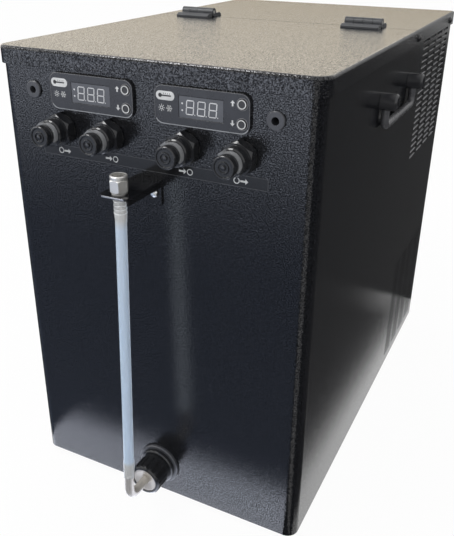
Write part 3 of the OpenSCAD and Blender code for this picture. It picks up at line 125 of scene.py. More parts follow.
class StageSettings(bpy.types.PropertyGroup):
    """Floor, light and camera."""

    camera_place: FloatVectorProperty(
        name="Camera place", description="Where the camera stands", subtype="XYZ", size=3,
        unit="LENGTH", default=(0.27754, -0.62641, 0.50186))
    azimuth: FloatProperty(
        name="Azimuth", description="Camera's turn round the object", subtype="ANGLE",
        default=math.radians(26.4964))
    elevation: FloatProperty(
        name="Elevation", description="Camera's height angle", subtype="ANGLE",
        default=math.radians(25.3383))
    roll: FloatProperty(
        name="Roll", description="Camera's tilt about its own axis", subtype="ANGLE",
        default=math.radians(0.5184))
    lens: FloatProperty(
        name="Lens", description="Focal length on a 36 mm sensor", subtype="DISTANCE_CAMERA",
        min=10, max=200, default=45.9621)
    shift: FloatVectorProperty(
        name="Shift", description="Sideways and upward shift of the picture", size=2,
        default=(0.00833, -0.03019))
    floor_color: FloatVectorProperty(
        name="Floor", description="Colour of the floor", **COLOR, default=(0.93, 0.93, 0.93))
    floor_white: FloatProperty(
        name="Floor brightness", description="Share of the floor that shows no shadow",
        subtype="FACTOR", min=0, max=1, default=0.96)
    cool_light: FloatVectorProperty(
        name="Cool light", description="Colour of the light from the front", **COLOR,
        default=(0.56, 0.69, 1.0))
    warm_light: FloatVectorProperty(
        name="Warm light", description="Colour of the light from the back", **COLOR,
        default=(1.0, 0.865, 0.64))


# Shader building

# Range that soft noise mostly keeps to
NOISE_LOW, NOISE_HIGH = 0.3, 0.7
BEVEL_SAMPLES = 6


class Graph:
    """Node tree of a material or a world, under construction."""

    def __init__(self, owner):
        owner.use_nodes = True
        self.tree = owner.node_tree

    def add(self, kind, inputs=None, **values):
        """New node with values in some of its input sockets."""
        node = self.tree.nodes.new(kind)
        for key, value in values.items():
            setattr(node, key, value)
        for socket, value in (inputs or {}).items():
            node.inputs[socket].default_value = value
        return node

    def link(self, output, node, socket):
        self.tree.links.new(output, node.inputs[socket])

    def spread(self, value, low, high, start=NOISE_LOW, stop=NOISE_HIGH):
        """Runs from low to high while a value runs from start to stop."""
        node = self.add("ShaderNodeMapRange", {"From Min": start, "From Max": stop, "To Min": low,
                                               "To Max": high})
        self.link(value, node, "Value")
        return node.outputs["Result"]

    def math(self, operation, value, other):
        """Operation on a value and a second value or number."""
        node = self.add("ShaderNodeMath", operation=operation)
        self.link(value, node, 0)
        if isinstance(other, float):
            node.inputs[1].default_value = other
        else:
            self.link(other, node, 1)
        return node.outputs[0]

    def ramp(self, value, stops):
        """Colour that runs through stops, each a place from 0 to 1 and a colour."""
        node = self.add("ShaderNodeValToRGB")
        elements = node.color_ramp.elements
        while len(elements) < len(stops):
            elements.new(0.5)
        for element, (at, color) in zip(elements, stops):
            element.position = at
            element.color = (*color, 1)
        self.link(value, node, "Fac")
        return node.outputs["Color"]


class Finish(Graph):
    """A Principled material under construction."""

    def __init__(self, name):
        self.material = bpy.data.materials.new(name)
        super().__init__(self.material)
        self.shader = self.tree.nodes["Principled BSDF"]
        self.place = self.add("ShaderNodeTexCoord").outputs["Object"]

    def set(self, **values):
        """Sets sockets of the shader, with _ for a space in a name."""
        for name, value in values.items():
            self.shader.inputs[name.replace("_", " ")].default_value = value
        return self

    def noise(self, size, detail=2.0, stretch=(1, 1, 1)):
        """Soft noise with features of that size in metres, drawn out along an axis by stretch."""
        scale = self.add("ShaderNodeVectorMath", {1: tuple(1 / (size * s) for s in stretch)},
                         operation="MULTIPLY")
        self.link(self.place, scale, 0)
        node = self.add("ShaderNodeTexNoise", {"Scale": 1, "Detail": detail})
        self.link(scale.outputs[0], node, "Vector")
        return node.outputs["Fac"]

    def cells(self, size, feature="SMOOTH_F1"):
        """Cell pattern with cells of that size in metres."""
        node = self.add("ShaderNodeTexVoronoi", {"Scale": 1 / size}, feature=feature)
        self.link(self.place, node, "Vector")
        return node

    def tint(self, value, dark, light, start=NOISE_LOW, stop=NOISE_HIGH):
        """Base colour that drifts between two tones."""
        return self.paint(self.ramp(value, ((start, dark), (stop, light))))

    def paint(self, color):
        self.link(color, self.shader, "Base Color")
        return self

    def gloss(self, value, low, high):
        """Roughness that drifts between two levels."""
        self.link(self.spread(value, low, high), self.shader, "Roughness")
        return self

    def relief(self, value, height, edge=0.0):
        """Bumps of that height in metres, over edges rounded by a radius in metres."""
        bump = self.add("ShaderNodeBump", {"Strength": 1, "Distance": height})
        self.link(value, bump, "Height")
        if edge:
            bevel = self.add("ShaderNodeBevel", {"Radius": edge}, samples=BEVEL_SAMPLES)
            self.link(bevel.outputs["Normal"], bump, "Normal")
        self.link(bump.outputs["Normal"], self.shader, "Normal")
        return self


def tone(color, factor):
    return tuple(min(1.0, c * factor) for c in color)


def surface(name, color, roughness, *, tones, patch, gloss, gloss_patch, grain, height, edge):
    """Finish with a grain and soft edges, whose colour and roughness drift by shares.

    The patches and the grain are each a noise's size and, where it matters, its detail.
    """
    finish = Finish(name)
    finish.tint(finish.noise(*patch), *(tone(color, share) for share in tones))
    finish.gloss(finish.noise(*gloss_patch), *(roughness * share for share in gloss))
    finish.relief(finish.noise(*grain), height, edge)
    return finish


def moulded(name, color, roughness, grain=0.5 * MM, height=0.012 * MM, edge=0.35 * MM):
    """Moulded plastic: spark-eroded grain, slightly uneven gloss and soft edges."""
    return surface(name, color, roughness, tones=(0.88, 1.12), patch=(9 * MM,),
                   gloss=(0.88, 1.12), gloss_patch=(5 * MM,),
                   grain=(grain,), height=height, edge=edge)


def rubber(name, color):
    """Dull rubber with a coarse grain."""
    return surface(name, color, 1, tones=(0.8, 1.25), patch=(4 * MM, 4),
                   gloss=(0.62, 0.78), gloss_patch=(3 * MM,),
                   grain=(0.8 * MM, 3), height=0.03 * MM, edge=0.5 * MM)


def bare_metal(name, color, roughness, along=(1, 1, 14), edge=0.3 * MM):
    """Turned or drawn metal with fine lines along one axis."""
    lines = (0.22 * MM, 3, along)
    finish = surface(name, color, roughness, tones=(0.93, 1.05), patch=(6 * MM, 3),
                     gloss=(0.8, 1.25), gloss_patch=lines,
                     grain=lines, height=0.006 * MM, edge=edge)
    return finish.set(Metallic=1.0)


def painted(name, color, roughness, edge=0.4 * MM):
    """Smooth paint with a slight orange peel."""
    return surface(name, color, roughness, tones=(0.9, 1.1), patch=(12 * MM,),
                   gloss=(0.85, 1.15), gloss_patch=(6 * MM,),
                   grain=(1.4 * MM,), height=0.025 * MM, edge=edge)


# Powder coat: sizes are shares of the grain, tones and gloss are shares of the settings

BUMP = Group(size=1.25, smoothness=0.6, weight=0.35)
PEEL_DETAIL = 0.4
# Tones of the specks in the coat's colour: the lighter specks are painted glints on the bumps
PAINTED_GLINT_TONES = (0.25, 1.95)
GLOSS = Group(size=0.8, low=0.85, high=1.2)
PITS = Group(size=0.9, detail=1, range=(0.38, 0.74))
BRACKET_COAT = (0.6, 0.35)


def powder_coat(coat, name="powder_coat", grain=1.0, height=1.0):
    """Orange-peel powder coat: rounded bumps close together, glossy between them, with lighter
    specks in its colour that are painted glints on the bumps.
    """
    finish = Finish(name)
    size = coat.grain * grain
    bumps = finish.cells(size * BUMP.size)
    bumps.inputs["Smoothness"].default_value = BUMP.smoothness
    lowered = finish.math("MULTIPLY", bumps.outputs["Distance"], BUMP.weight)
    mixed = finish.math("SUBTRACT", finish.noise(size, PEEL_DETAIL), lowered)
    # Specks in the colour: painted glints on the bumps
    finish.tint(finish.noise(size), *(tone(coat.color, share) for share in PAINTED_GLINT_TONES))
    finish.gloss(finish.noise(size * GLOSS.size), coat.roughness * GLOSS.low,
                 coat.roughness * GLOSS.high)
    finish.relief(mixed, coat.relief * height, coat.edge)
    pits = finish.noise(size * PITS.size, PITS.detail)
    finish.link(finish.spread(pits, *coat.shine, *PITS.range), finish.shader,
                "Specular IOR Level")
    return finish


def dress(finish, *names):
    """Puts a finish on carried-over nodes."""
    for name in names:
        for slot in NODES[name].material_slots:
            slot.link = "OBJECT"
            slot.material = finish.material


# Mesh building


def mesh_object(name, bm, material):
    """Object in the scene from a bmesh, which is used up."""
    mesh = bpy.data.meshes.new(name)
    bm.to_mesh(mesh)
    bm.free()
    mesh.materials.append(material)
    made = bpy.data.objects.new(name, mesh)
    bpy.context.scene.collection.objects.link(made)
    return made


def new_piece(name, bm, finish, body=CASING, smooth=False):
    """A piece from a bmesh, riding on a body."""
    bmesh.ops.recalc_face_normals(bm, faces=bm.faces)
    piece = mesh_object(name, bm, finish.material)
    for face in piece.data.polygons:
        face.use_smooth = smooth
    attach(piece, body)


def thicken(bm, faces, vec):
    """Draws flat faces out along a vector into a solid."""
    made = bmesh.ops.extrude_face_region(bm, geom=faces)
    moved = [g for g in made["geom"] if isinstance(g, bmesh.types.BMVert)]
    bmesh.ops.translate(bm, verts=moved, vec=vec)


INK_LIFT = 0.04 * MM
INK_DEPTH = 0.05 * MM
ARROW_HEAD = 0.55
ARROW_SHAFT = 0.17


class FrontPrint:
    """Thin ink shapes on a plane that faces the front: points are (x, z) about a centre.

    The layer counts the inks that lie below this one.
    """

    def __init__(self, centre, layer=0):
        self.centre = Vector(centre) - Vector((0, layer * INK_DEPTH, 0))
        self.bm = bmesh.new()

    def corner(self, point):
        x, z = point
        return self.bm.verts.new(self.centre + Vector((x, -INK_LIFT, z)))

    def solid(self, faces):
        thicken(self.bm, faces, (0, -INK_DEPTH, 0))
        return self

    def shape(self, points):
        """Flat shape with that outline."""
        return self.solid([self.bm.faces.new([self.corner(p) for p in points])])

    def band(self, outer, inner, closed=True):
        """Band between two lines with the same number of points, joined up if closed."""
        a, b = ([self.corner(p) for p in line] for line in (outer, inner))
        count = len(a)
        faces = []
        for i in range(count if closed else count - 1):
            j = (i + 1) % count
            faces.append(self.bm.faces.new((a[i], a[j], b[j], b[i])))
        return self.solid(faces)

    def piece(self, name, finish, body=CASING, slot=None):
        new_piece(name, self.bm, finish, body)

    def disc(self, x, z, radius):
        return self.shape(circle(x, z, radius))

    def ring(self, x, z, outer, inner):
        return self.band(circle(x, z, outer), circle(x, z, inner))

    def line(self, start, stop, width):
        """Straight stroke with square ends."""
        a, b = Vector(start), Vector(stop)
        across = (b - a).normalized().orthogonal() * width / 2
        return self.shape([a - across, b - across, b + across, a + across])

    def arrow(self, x, z, length, width, direction):
        """Arrow with a shaft, centred on a point and pointing along a direction."""
        along = Vector(direction).normalized()
        across = Vector((-along.y, along.x))
        middle = Vector((x, z))
        tip = length / 2
        neck = tip - width * ARROW_HEAD
        shaft = width * ARROW_SHAFT

        def at(a, c):
            return middle + along * a + across * c

        return self.shape([at(-tip, -shaft), at(neck, -shaft), at(neck, -width / 2), at(tip, 0),
                           at(neck, width / 2), at(neck, shaft), at(-tip, shaft)])


def circle(x, z, radius, count=32):
    return [(x + radius * math.cos(math.tau * i / count),
             z + radius * math.sin(math.tau * i / count)) for i in range(count)]


def round_rect(x, z, width, height, radius, steps=6):
    """Rounded rectangle about a point, counter-clockwise seen from the front."""
    points = []
    for quarter, (sx, sz) in enumerate(((1, 1), (-1, 1), (-1, -1), (1, -1))):
        for i in range(steps + 1):
            angle = math.pi / 2 * (quarter + i / steps)
            points.append((x + sx * (width / 2 - radius) + radius * math.cos(angle),
                           z + sz * (height / 2 - radius) + radius * math.sin(angle)))
    return points


# Operators


class CHILLER_OT_casing(bpy.types.Operator):
    """Powder coat, hinges, screws, handles and feet"""

    bl_idname = "chiller.casing"
    bl_label = "Dress the casing"

    def execute(self, context):
        coat = context.scene.chiller_coat
        dress(powder_coat(coat), "side_panel_left", "side_panel_right", "rear_panel", "base_tray")
        dress(powder_coat(coat, "front_coat", height=1.7), "front_panel")
        dress(powder_coat(coat, "top_coat", height=2.4), "rear_cover", "lid")
        dress(powder_coat(coat, "bracket_coat", *BRACKET_COAT), "gauge_bracket")
        dress(painted("hinge_black", (0.05, 0.052, 0.057), 0.32), "hinge_lid_leaves",
              "hinge_cover_leaves")
        dress(bare_metal("hinge_pin_steel", (0.62, 0.62, 0.6), 0.3, (14, 1, 1)), "hinge_pins")
        dress(painted("screw_black", (0.014, 0.014, 0.016), 0.12, 0.5 * MM), "casing_screws")
        dress(moulded("handle_plastic", (0.026, 0.0265, 0.03), 0.22, edge=0.8 * MM), "handle_ears")
        dress(painted("handle_bar", (0.062, 0.063, 0.069), 0.28), "handle_bail_left",
              "handle_bail_right")
        dress(rubber("foot_rubber", (0.014, 0.014, 0.014)), "feet", "fitting_seals", "lid_seal",
              "compressor_mounts")
        return {"FINISHED"}


LOWER_END, COOLANT = (0.62, 0.63, 0.64), (0.66, 0.79, 0.95)
COOLANT_TOP, UPPER_END = (0.7, 0.81, 0.95), (0.74, 0.75, 0.76)
TUBE_TONES = ((0.0, LOWER_END), (0.055, LOWER_END), (0.07, COOLANT), (0.6, COOLANT),
              (0.9, COOLANT_TOP), (0.93, UPPER_END), (1.0, UPPER_END))


class CHILLER_OT_fittings(bpy.types.Operator):
    """Ports, sockets, controllers, drain and sight tube"""

    bl_idname = "chiller.fittings"
    bl_label = "Dress the fittings"

    def execute(self, context):
        black = moulded("fitting_black", (0.014, 0.0146, 0.0168), 0.17, 0.8 * MM, 0.01 * MM,
                        0.5 * MM)
        dress(black, "bulkhead_fittings", "panel_nuts", "fitting_collets", "drain_bulkhead",
              "drain_cap_nut", *("plug_" + port for port in PORTS))
        dress(moulded("clip_grey", (0.24, 0.245, 0.255), 0.2), *("clip_" + port for port in PORTS))
        dress(moulded("socket_grey", (0.05, 0.052, 0.06), 0.34), "probe_sockets", "drain_washer")
        dress(moulded("controller_black", (0.0165, 0.0172, 0.021), 0.26, 0.4 * MM, 0.006 * MM,
                      0.6 * MM), "controllers")
        dress(moulded("display_lens", (0.07, 0.073, 0.083), 0.14, 0.3 * MM, 0.003 * MM),
              "display_lenses")
        dress(moulded("button_black", (0.028, 0.028, 0.031), 0.36),
              *(f"button_{side}_{level}" for side in SIDES for level in ("up", "down")))
        dress(bare_metal("bright_steel", (0.68, 0.67, 0.65), 0.36).set(Metallic=0.8),
              "swivel_nut", "hose_barb")
        dress(bare_metal("brushed_steel", (0.52, 0.49, 0.45), 0.45).set(Metallic=0.5),
              "drain_elbow")
        dress(self.tube(), "sight_tube")
        return {"FINISHED"}

    def tube(self):
        """Milky tube: clear over the barbs, pale blue where the coolant stands in it."""
        low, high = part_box("sight_tube")
        tube = Finish("milky_tube")
        split = tube.add("ShaderNodeSeparateXYZ")
        tube.link(tube.place, split, 0)
        height = tube.spread(split.outputs["Z"], 0, 1, low.z, high.z)
        tube.paint(tube.ramp(height, TUBE_TONES))
        tube.gloss(tube.noise(5 * MM), 0.12, 0.2)
        tube.relief(tube.noise(9 * MM, 1, (1, 1, 5)), 0.05 * MM)
        tube.set(Transmission_Weight=0.35, IOR=1.36)
        return tube


class CHILLER_OT_insides(bpy.types.Operator):
    """Tank, coil, pumps, refrigeration and power inlet"""

    bl_idname = "chiller.insides"
    bl_label = "Dress the insides"

    def execute(self, context):
        zinc = Finish("zinc_sheet")
        spangle = zinc.cells(7 * MM, "F1")
        zinc.set(Metallic=1.0)
        zinc.tint(spangle.outputs["Color"], (0.46, 0.47, 0.48), (0.6, 0.61, 0.62), 0.1, 0.9)
        zinc.gloss(spangle.outputs["Distance"], 0.36, 0.5)
        dress(zinc, "partition")
        foam = Finish("foam")
        foam.tint(foam.noise(14 * MM, 4), (0.74, 0.68, 0.5), (0.82, 0.77, 0.6))
        foam.relief(foam.cells(1.6 * MM).outputs["Distance"], 0.4 * MM, 0.8 * MM)
        foam.set(Roughness=0.92)
        dress(foam, "tank_insulation", "lid_insulation")
        dress(moulded("tank_plastic", (0.76, 0.78, 0.79), 0.42, edge=1 * MM), "tank")
        dress(moulded("deck_plastic", (0.03, 0.031, 0.033), 0.45), "tank_deck")
        dress(moulded("clear_hose", (0.8, 0.83, 0.83), 0.3).set(Transmission_Weight=0.35),
              "tank_hoses")
        dress(bare_metal("copper", (0.78, 0.42, 0.27), 0.3), "evaporator_coil", "refrigerant_lines",
              "filter_drier")
        dress(moulded("pump_plastic", (0.03, 0.034, 0.04), 0.4), "pumps")
        dress(painted("compressor_paint", (0.012, 0.012, 0.013), 0.2), "compressor")
        dress(bare_metal("fin_aluminium", (0.76, 0.77, 0.78), 0.34), "condenser")
        dress(moulded("fan_plastic", (0.022, 0.022, 0.024), 0.45), "fan_shroud", "fan_rotor",
              "power_inlet")
        dress(painted("motor_paint", (0.3, 0.31, 0.32), 0.4), "fan_motor")
        return {"FINISHED"}


# Controller faces: places and sizes about a controller's middle, on its bezel

BUTTON_FROM_MIDDLE = 32.5 * MM
BEZEL_SIZE = (77 * MM, 28.5 * MM)
BEZEL_CORNER = 6.5 * MM
FINE_RIM = (0.5 * MM, 1.0 * MM)
# Band along the bottom edge, wider and paler: a painted highlight
HIGHLIGHT_RIM = (0.3 * MM, 1.5 * MM)
HIGHLIGHT_RIM_TOP = BEZEL_CORNER * 0.7 - BEZEL_SIZE[1] / 2
PILL_AT = (-29.2 * MM, 6.6 * MM)
PILL_SIZE = (15.5 * MM, 6.6 * MM)
PILL_CORNER = PILL_SIZE[1] / 2.05
BULB = Group(x=-4.2 * MM, radius=1.5 * MM)
STEM = Group(start=-3 * MM, stop=5 * MM, height=1 * MM, corner=0.45 * MM)
TICKS = Group(first=-1.2 * MM, pitch=1.7 * MM, count=4, start=0.9 * MM, stop=1.9 * MM,
              width=0.35 * MM)
SUN_AT = (-32.4 * MM, -2.4 * MM)
SUN_RING = (1.35 * MM, 0.85 * MM)
SUN_RAYS = Group(count=8, start=1.8 * MM, stop=2.6 * MM, width=0.45 * MM)
CRYSTAL_AT = (-26.0 * MM, -2.4 * MM)
CRYSTAL_ARMS = Group(count=6, start=0.3 * MM, stop=2.6 * MM, width=0.42 * MM)
CRYSTAL_TWIGS = Group(start=1.5 * MM, length=0.9 * MM, width=0.36 * MM, turn=math.radians(55))
ARROW_FROM_BUTTON = -7.4 * MM
ARROW_SIZE = (4.2 * MM, 3.6 * MM)
HALO = (4.5 * MM, 3.95 * MM)
CAP_RING = (3.3 * MM, 2.6 * MM)
DIGIT_SHIFT = 0.4 * MM
DIGIT_SLANT = math.tan(math.radians(4))
INDICATORS = Group(x=-15.2 * MM, z=(-2.5 * MM, 2.5 * MM), radius=0.7 * MM)

# Shares of the line width
SEGMENT_GAP = 0.12
POINT = Group(beside=1.3, radius=0.55)


class CHILLER_OT_controller_faces(bpy.types.Operator):
    """Digits, pictograms, arrows and button rings on both controllers"""

    bl_idname = "chiller.controller_faces"
    bl_label = "Print the controller faces"

    def execute(self, context):
        marks = context.scene.chiller_marks
        ink = moulded("white_ink", tuple(marks.ink), 0.5, edge=0)
        dim = moulded("digit_segments", tuple(marks.segment), 0.3, edge=0)
        dark = moulded("dark_ink", (0.015, 0.015, 0.017), 0.5, edge=0)
        grey = moulded("halo_ink", (0.16, 0.16, 0.17), 0.45, edge=0)
        bezel_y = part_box("controllers")[0].y
        lens_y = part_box("display_lenses")[0].y
        for side in SIDES:
            up, down = (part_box(f"button_{side}_{level}") for level in ("up", "down"))
            middle = Vector(((up[0].x + up[1].x) / 2 - BUTTON_FROM_MIDDLE, bezel_y,
                             (up[1].z + down[0].z) / 2))
            self.digits(side, (middle.x, lens_y, middle.z), marks, dim)
            self.signs(side, middle, ink, dark)
            self.buttons(side, middle, ink, grey)
            self.rim(side, middle, grey)
        return {"FINISHED"}

    def rim(self, side, middle, grey):
        """Clear edge of the overlay: a fine line all round, and a wider, paler band along the
        bottom that is a painted highlight where the edge catches light from below.
        """
        width, height = BEZEL_SIZE

        def outlines(insets):
            return [round_rect(0, 0, width - inset, height - inset, BEZEL_CORNER)
                    for inset in insets]

        FrontPrint(middle).band(*outlines(FINE_RIM)).piece(f"bezel_line_{side}", grey)
        # Paler band along the bottom: a painted highlight where the overlay's edge catches light
        # from below
        pale = moulded(f"bezel_edge_highlight_{side}", (0.3, 0.31, 0.33), 0.3, edge=0)
        pairs = [(a, b) for a, b in zip(*outlines(HIGHLIGHT_RIM)) if a[1] < HIGHLIGHT_RIM_TOP]
        lower = FrontPrint(middle, 0.5).band(*zip(*pairs), closed=False)
        lower.piece(f"bezel_edge_highlight_{side}", pale)

    def digits(self, side, centre, marks, finish):
        """Three unlit seven-segment digits with their points, and two indicator dots."""
        face = FrontPrint(centre)
        half_h = marks.digit_height / 2
        half_w = marks.digit_width / 2
        stroke = marks.line
        gap = stroke * SEGMENT_GAP

        def segment(a, b):
            """Bar with pointed ends between two corners of a digit."""
            start, stop = Vector(a), Vector(b)
            along = (stop - start).normalized()
            across = along.orthogonal() * stroke / 2
            start, stop = start + along * gap, stop - along * gap
            inner_a, inner_b = start + along * stroke / 2, stop - along * stroke / 2
            bar = [start, inner_a - across, inner_b - across, stop, inner_b + across,
                   inner_a + across]
            face.shape([(p.x + p.y * DIGIT_SLANT, p.y) for p in bar])

        for place in (-1, 0, 1):
            x = place * marks.digit_pitch + DIGIT_SHIFT
            left, right = x - half_w, x + half_w
            for z in (-half_h, 0, half_h):
                segment((left, z), (right, z))
            for x_side in (left, right):
                segment((x_side, -half_h), (x_side, 0))
                segment((x_side, 0), (x_side, half_h))
            face.disc(right + stroke * POINT.beside, -half_h, stroke * POINT.radius)
        for z in INDICATORS.z:
            face.disc(INDICATORS.x, z, INDICATORS.radius)
        face.piece(f"digits_{side}", finish, slot="display_lens")

    def signs(self, side, middle, ink, dark):
        """White pill with a thermometer, and a sun and a snow crystal below it."""
        face = FrontPrint(middle)
        face.shape(round_rect(*PILL_AT, *PILL_SIZE, PILL_CORNER))
        face.ring(*SUN_AT, *SUN_RING)
        self.rays(face, Vector(SUN_AT), SUN_RAYS)
        self.crystal(face)
        face.piece(f"signs_{side}", ink)
        x, z = PILL_AT
        on_pill = FrontPrint(middle, 1)
        on_pill.disc(x + BULB.x, z, BULB.radius)
        start, stop = x + STEM.start, x + STEM.stop
        on_pill.shape(round_rect((start + stop) / 2, z, stop - start, STEM.height, STEM.corner))
        for step in range(TICKS.count):
            tick = x + TICKS.first + TICKS.pitch * step
            on_pill.line((tick, z + TICKS.start), (tick, z + TICKS.stop), TICKS.width)
        on_pill.piece(f"thermometer_{side}", dark)

    def rays(self, face, centre, size):
        """Strokes evenly round a centre. Returns their directions."""
        ways = [Vector(point) for point in circle(0, 0, 1, size.count)]
        for way in ways:
            face.line(centre + way * size.start, centre + way * size.stop, size.width)
        return ways

    def crystal(self, face):
        centre = Vector(CRYSTAL_AT)
        for way in self.rays(face, centre, CRYSTAL_ARMS):
            root = centre + way * CRYSTAL_TWIGS.start
            for turn in (-1, 1):
                twig = Matrix.Rotation(turn * CRYSTAL_TWIGS.turn, 2) @ way
                face.line(root, root + twig * CRYSTAL_TWIGS.length, CRYSTAL_TWIGS.width)

    def buttons(self, side, middle, ink, grey):
        """Arrows beside the buttons, halos round them and a ring on each cap."""
        arrows = FrontPrint(middle)
        halos = FrontPrint(middle)
        for level, way in (("up", 1), ("down", -1)):
            low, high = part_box(f"button_{side}_{level}")
            x, z = (low.x + high.x) / 2, (low.z + high.z) / 2
            off_x, off_z = x - middle.x, z - middle.z
            arrows.arrow(off_x + ARROW_FROM_BUTTON, off_z, *ARROW_SIZE, (0, way))
            halos.ring(off_x, off_z, *HALO)
            cap = FrontPrint((x, low.y, z)).ring(0, 0, *CAP_RING)
            cap.piece(f"button_ring_{side}_{level}", ink, f"button_{side}_{level}")
        arrows.piece(f"arrows_{side}", ink)
        halos.piece(f"halos_{side}", grey)


# Small trim: places in millimetres from the front panel's plane and the casing's bottom edge

SIDE_SCREW = Group(x=143.1, y=(264, 427), z=400)
BRACKET_SCREW = (6.25, -4.1, 307)
DOME = Group(radius=4.1, flat=1.2, sunk=3.0, around=24, over=12)
SLOTS = Group(first=306, length=28.5, height=3, step=34, columns=4, pitch=6.4, rows=20, top=391)
# Rims on the slots' lower edges, pale as a painted highlight
SLOT_RIM_HIGHLIGHT = Group(proud=0.12, deep=1, high=0.65)

# Sizes in metres
SOCKET = Group(reach=1.35 * MM, proud=0.12 * MM, deep=0.3 * MM)
LIP = Group(width=1.4 * MM, drop=4 * MM, plate=2 * MM, front=1 * MM, back=2.2 * MM, edge=0.35 * MM)
# Pale steel strip along the bracket's front edge: a painted highlight where that edge catches the
# light
EDGE_HIGHLIGHT = Group(ends=3 * MM, proud=0.12 * MM, deep=0.1 * MM, bottom=0.3 * MM, top=0.5 * MM,
                 edge=0.05 * MM)
BARB_RINGS = Group(count=4, pitch=3.3 * MM, first=3.2 * MM, swell=0.28 * MM, around=40, section=8)


class CHILLER_OT_trim(bpy.types.Operator):
    """Bracket lip with a painted highlight on its front edge, screw sockets in painted shade, slot
    rims with painted highlights, and the barb's rings in the tube
    """

    bl_idname = "chiller.trim"
    bl_label = "Add small trim"

    def execute(self, context):
        coat = context.scene.chiller_coat
        self.origin = Vector((0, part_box("front_panel")[0].y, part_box("side_panel_right")[0].z))
        self.bracket(powder_coat(coat, "lip_coat", *BRACKET_COAT))
        self.sockets()
        self.bracket_screws()
        self.slot_rim_highlights()
        self.barb_rings()
        return {"FINISHED"}

    def at(self, x, y, z):
        return self.origin + Vector((x, y, z)) * MM

    def bar(self, low, high, edge):
        """Square bar between two corners with rounded edges."""
        bm = bmesh.new()
        made = bmesh.ops.create_cube(bm, size=1)
        for vert in made["verts"]:
            vert.co = Vector((low[i] if vert.co[i] < 0 else high[i] for i in range(3)))
        bmesh.ops.bevel(bm, geom=bm.edges[:], offset=edge, segments=2, affect="EDGES")
        return bm

    def bracket(self, finish):
        """Down-turned lip along the bracket's right side, and a pale steel strip along its front
        edge, a painted highlight where that edge catches the light.
        """
        low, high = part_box("gauge_bracket")
        under = high.z - LIP.plate
        lip = self.bar((high.x - LIP.width, low.y + LIP.front, under - LIP.drop),
                       (high.x, high.y - LIP.back, under), LIP.edge)
        new_piece("bracket_lip", lip, finish)
        # Pale strip along the front edge: a painted highlight
        highlight_strip = self.bar((low.x + EDGE_HIGHLIGHT.ends, low.y - EDGE_HIGHLIGHT.proud, under + EDGE_HIGHLIGHT.bottom),
                       (high.x - EDGE_HIGHLIGHT.ends, low.y + EDGE_HIGHLIGHT.deep, high.z - EDGE_HIGHLIGHT.top),
                       EDGE_HIGHLIGHT.edge)
        highlight_steel = bare_metal("edge_highlight_steel", (0.45, 0.45, 0.46), 0.35, (14, 1, 1))
        new_piece("bracket_edge_highlight", highlight_strip, highlight_steel)

    def sockets(self):
        """Hexagon sockets in the casing's dome screws: near-black marks that are a painted shade of
        their recesses.
        """
        # Near-black: painted shade of the socket recesses
        dark = moulded("socket_painted_shade", (0.004, 0.004, 0.005), 0.5, edge=0)
        bm = bmesh.new()
        for side in SIDES.values():
            for y in SIDE_SCREW.y:
                centre = self.at(side * SIDE_SCREW.x, y, SIDE_SCREW.z)
                self.hexagon(bm, centre, Vector((side, 0, 0)))
        new_piece("screw_sockets", bm, dark)

    def bracket_screws(self):
        """Bright dome screws that hold the bracket, with their sockets."""
        bright = bare_metal("bracket_screw_zinc", (0.78, 0.79, 0.8), 0.22)
        x, y, z = BRACKET_SCREW
        centre_y = y + DOME.sunk
        for name, side in SIDES.items():
            bm = bmesh.new()
            made = bmesh.ops.create_uvsphere(bm, u_segments=DOME.around, v_segments=DOME.over,
                                             radius=DOME.radius * MM)
            hidden = [v for v in made["verts"] if v.co.z < DOME.flat * MM]
            bmesh.ops.delete(bm, geom=hidden, context="VERTS")
            bmesh.ops.edgeloop_fill(bm, edges=[e for e in bm.edges if e.is_boundary])
            bmesh.ops.rotate(bm, verts=bm.verts, matrix=Matrix.Rotation(math.radians(90), 3, "X"))
            bmesh.ops.translate(bm, verts=bm.verts, vec=self.at(side * x, centre_y, z))
            self.hexagon(bm, self.at(side * x, centre_y - DOME.radius, z), Vector((0, -1, 0)))
            new_piece(f"bracket_screw_{name}", bm, bright)

    def hexagon(self, bm, centre, normal):
        """Six-sided mark on a surface."""
        across = normal.orthogonal().normalized()
        corners = []
        for i in range(6):
            way = Matrix.Rotation(i * math.pi / 3, 3, normal) @ across
            corners.append(bm.verts.new(centre + way * SOCKET.reach + normal * SOCKET.proud))
        thicken(bm, [bm.faces.new(corners)], normal * -SOCKET.deep)

    def slot_rim_highlights(self):
        """Lower edges of the upper vent slots, sloped to the outside and pale as a painted
        highlight where they catch light from above.
        """
        # Pale colour: a painted highlight on the edges that face the light
        finish = painted("slot_edge_highlight", (0.16, 0.16, 0.17), 0.35, 0)
        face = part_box("side_panel_right")[1].x / MM
        bend, high = SLOTS.height / 2, SLOT_RIM_HIGHLIGHT.high
        for name, side in SIDES.items():
            bm = bmesh.new()
            out, deep = side * (face + SLOT_RIM_HIGHLIGHT.proud), side * (face - SLOT_RIM_HIGHLIGHT.deep)
            for row in range(SLOTS.rows):
                foot = SLOTS.top - row * SLOTS.pitch - bend - SLOT_RIM_HIGHLIGHT.proud
                for column in range(SLOTS.columns):
                    start = SLOTS.first + column * SLOTS.step
                    self.wedge(bm, start + bend, start + SLOTS.length - bend,
                               ((out, foot), (deep, foot), (deep, foot + high)))
            new_piece(f"slot_rim_highlights_{name}", bm, finish)

    def wedge(self, bm, start, stop, section):
        """Three-sided bar along Y."""
        near, far = ([bm.verts.new(self.at(x, y, z)) for x, z in section] for y in (start, stop))
        bm.faces.new(near)
        bm.faces.new(reversed(far))
        for i in range(3):
            j = (i + 1) % 3
            bm.faces.new((near[i], far[i], far[j], near[j]))

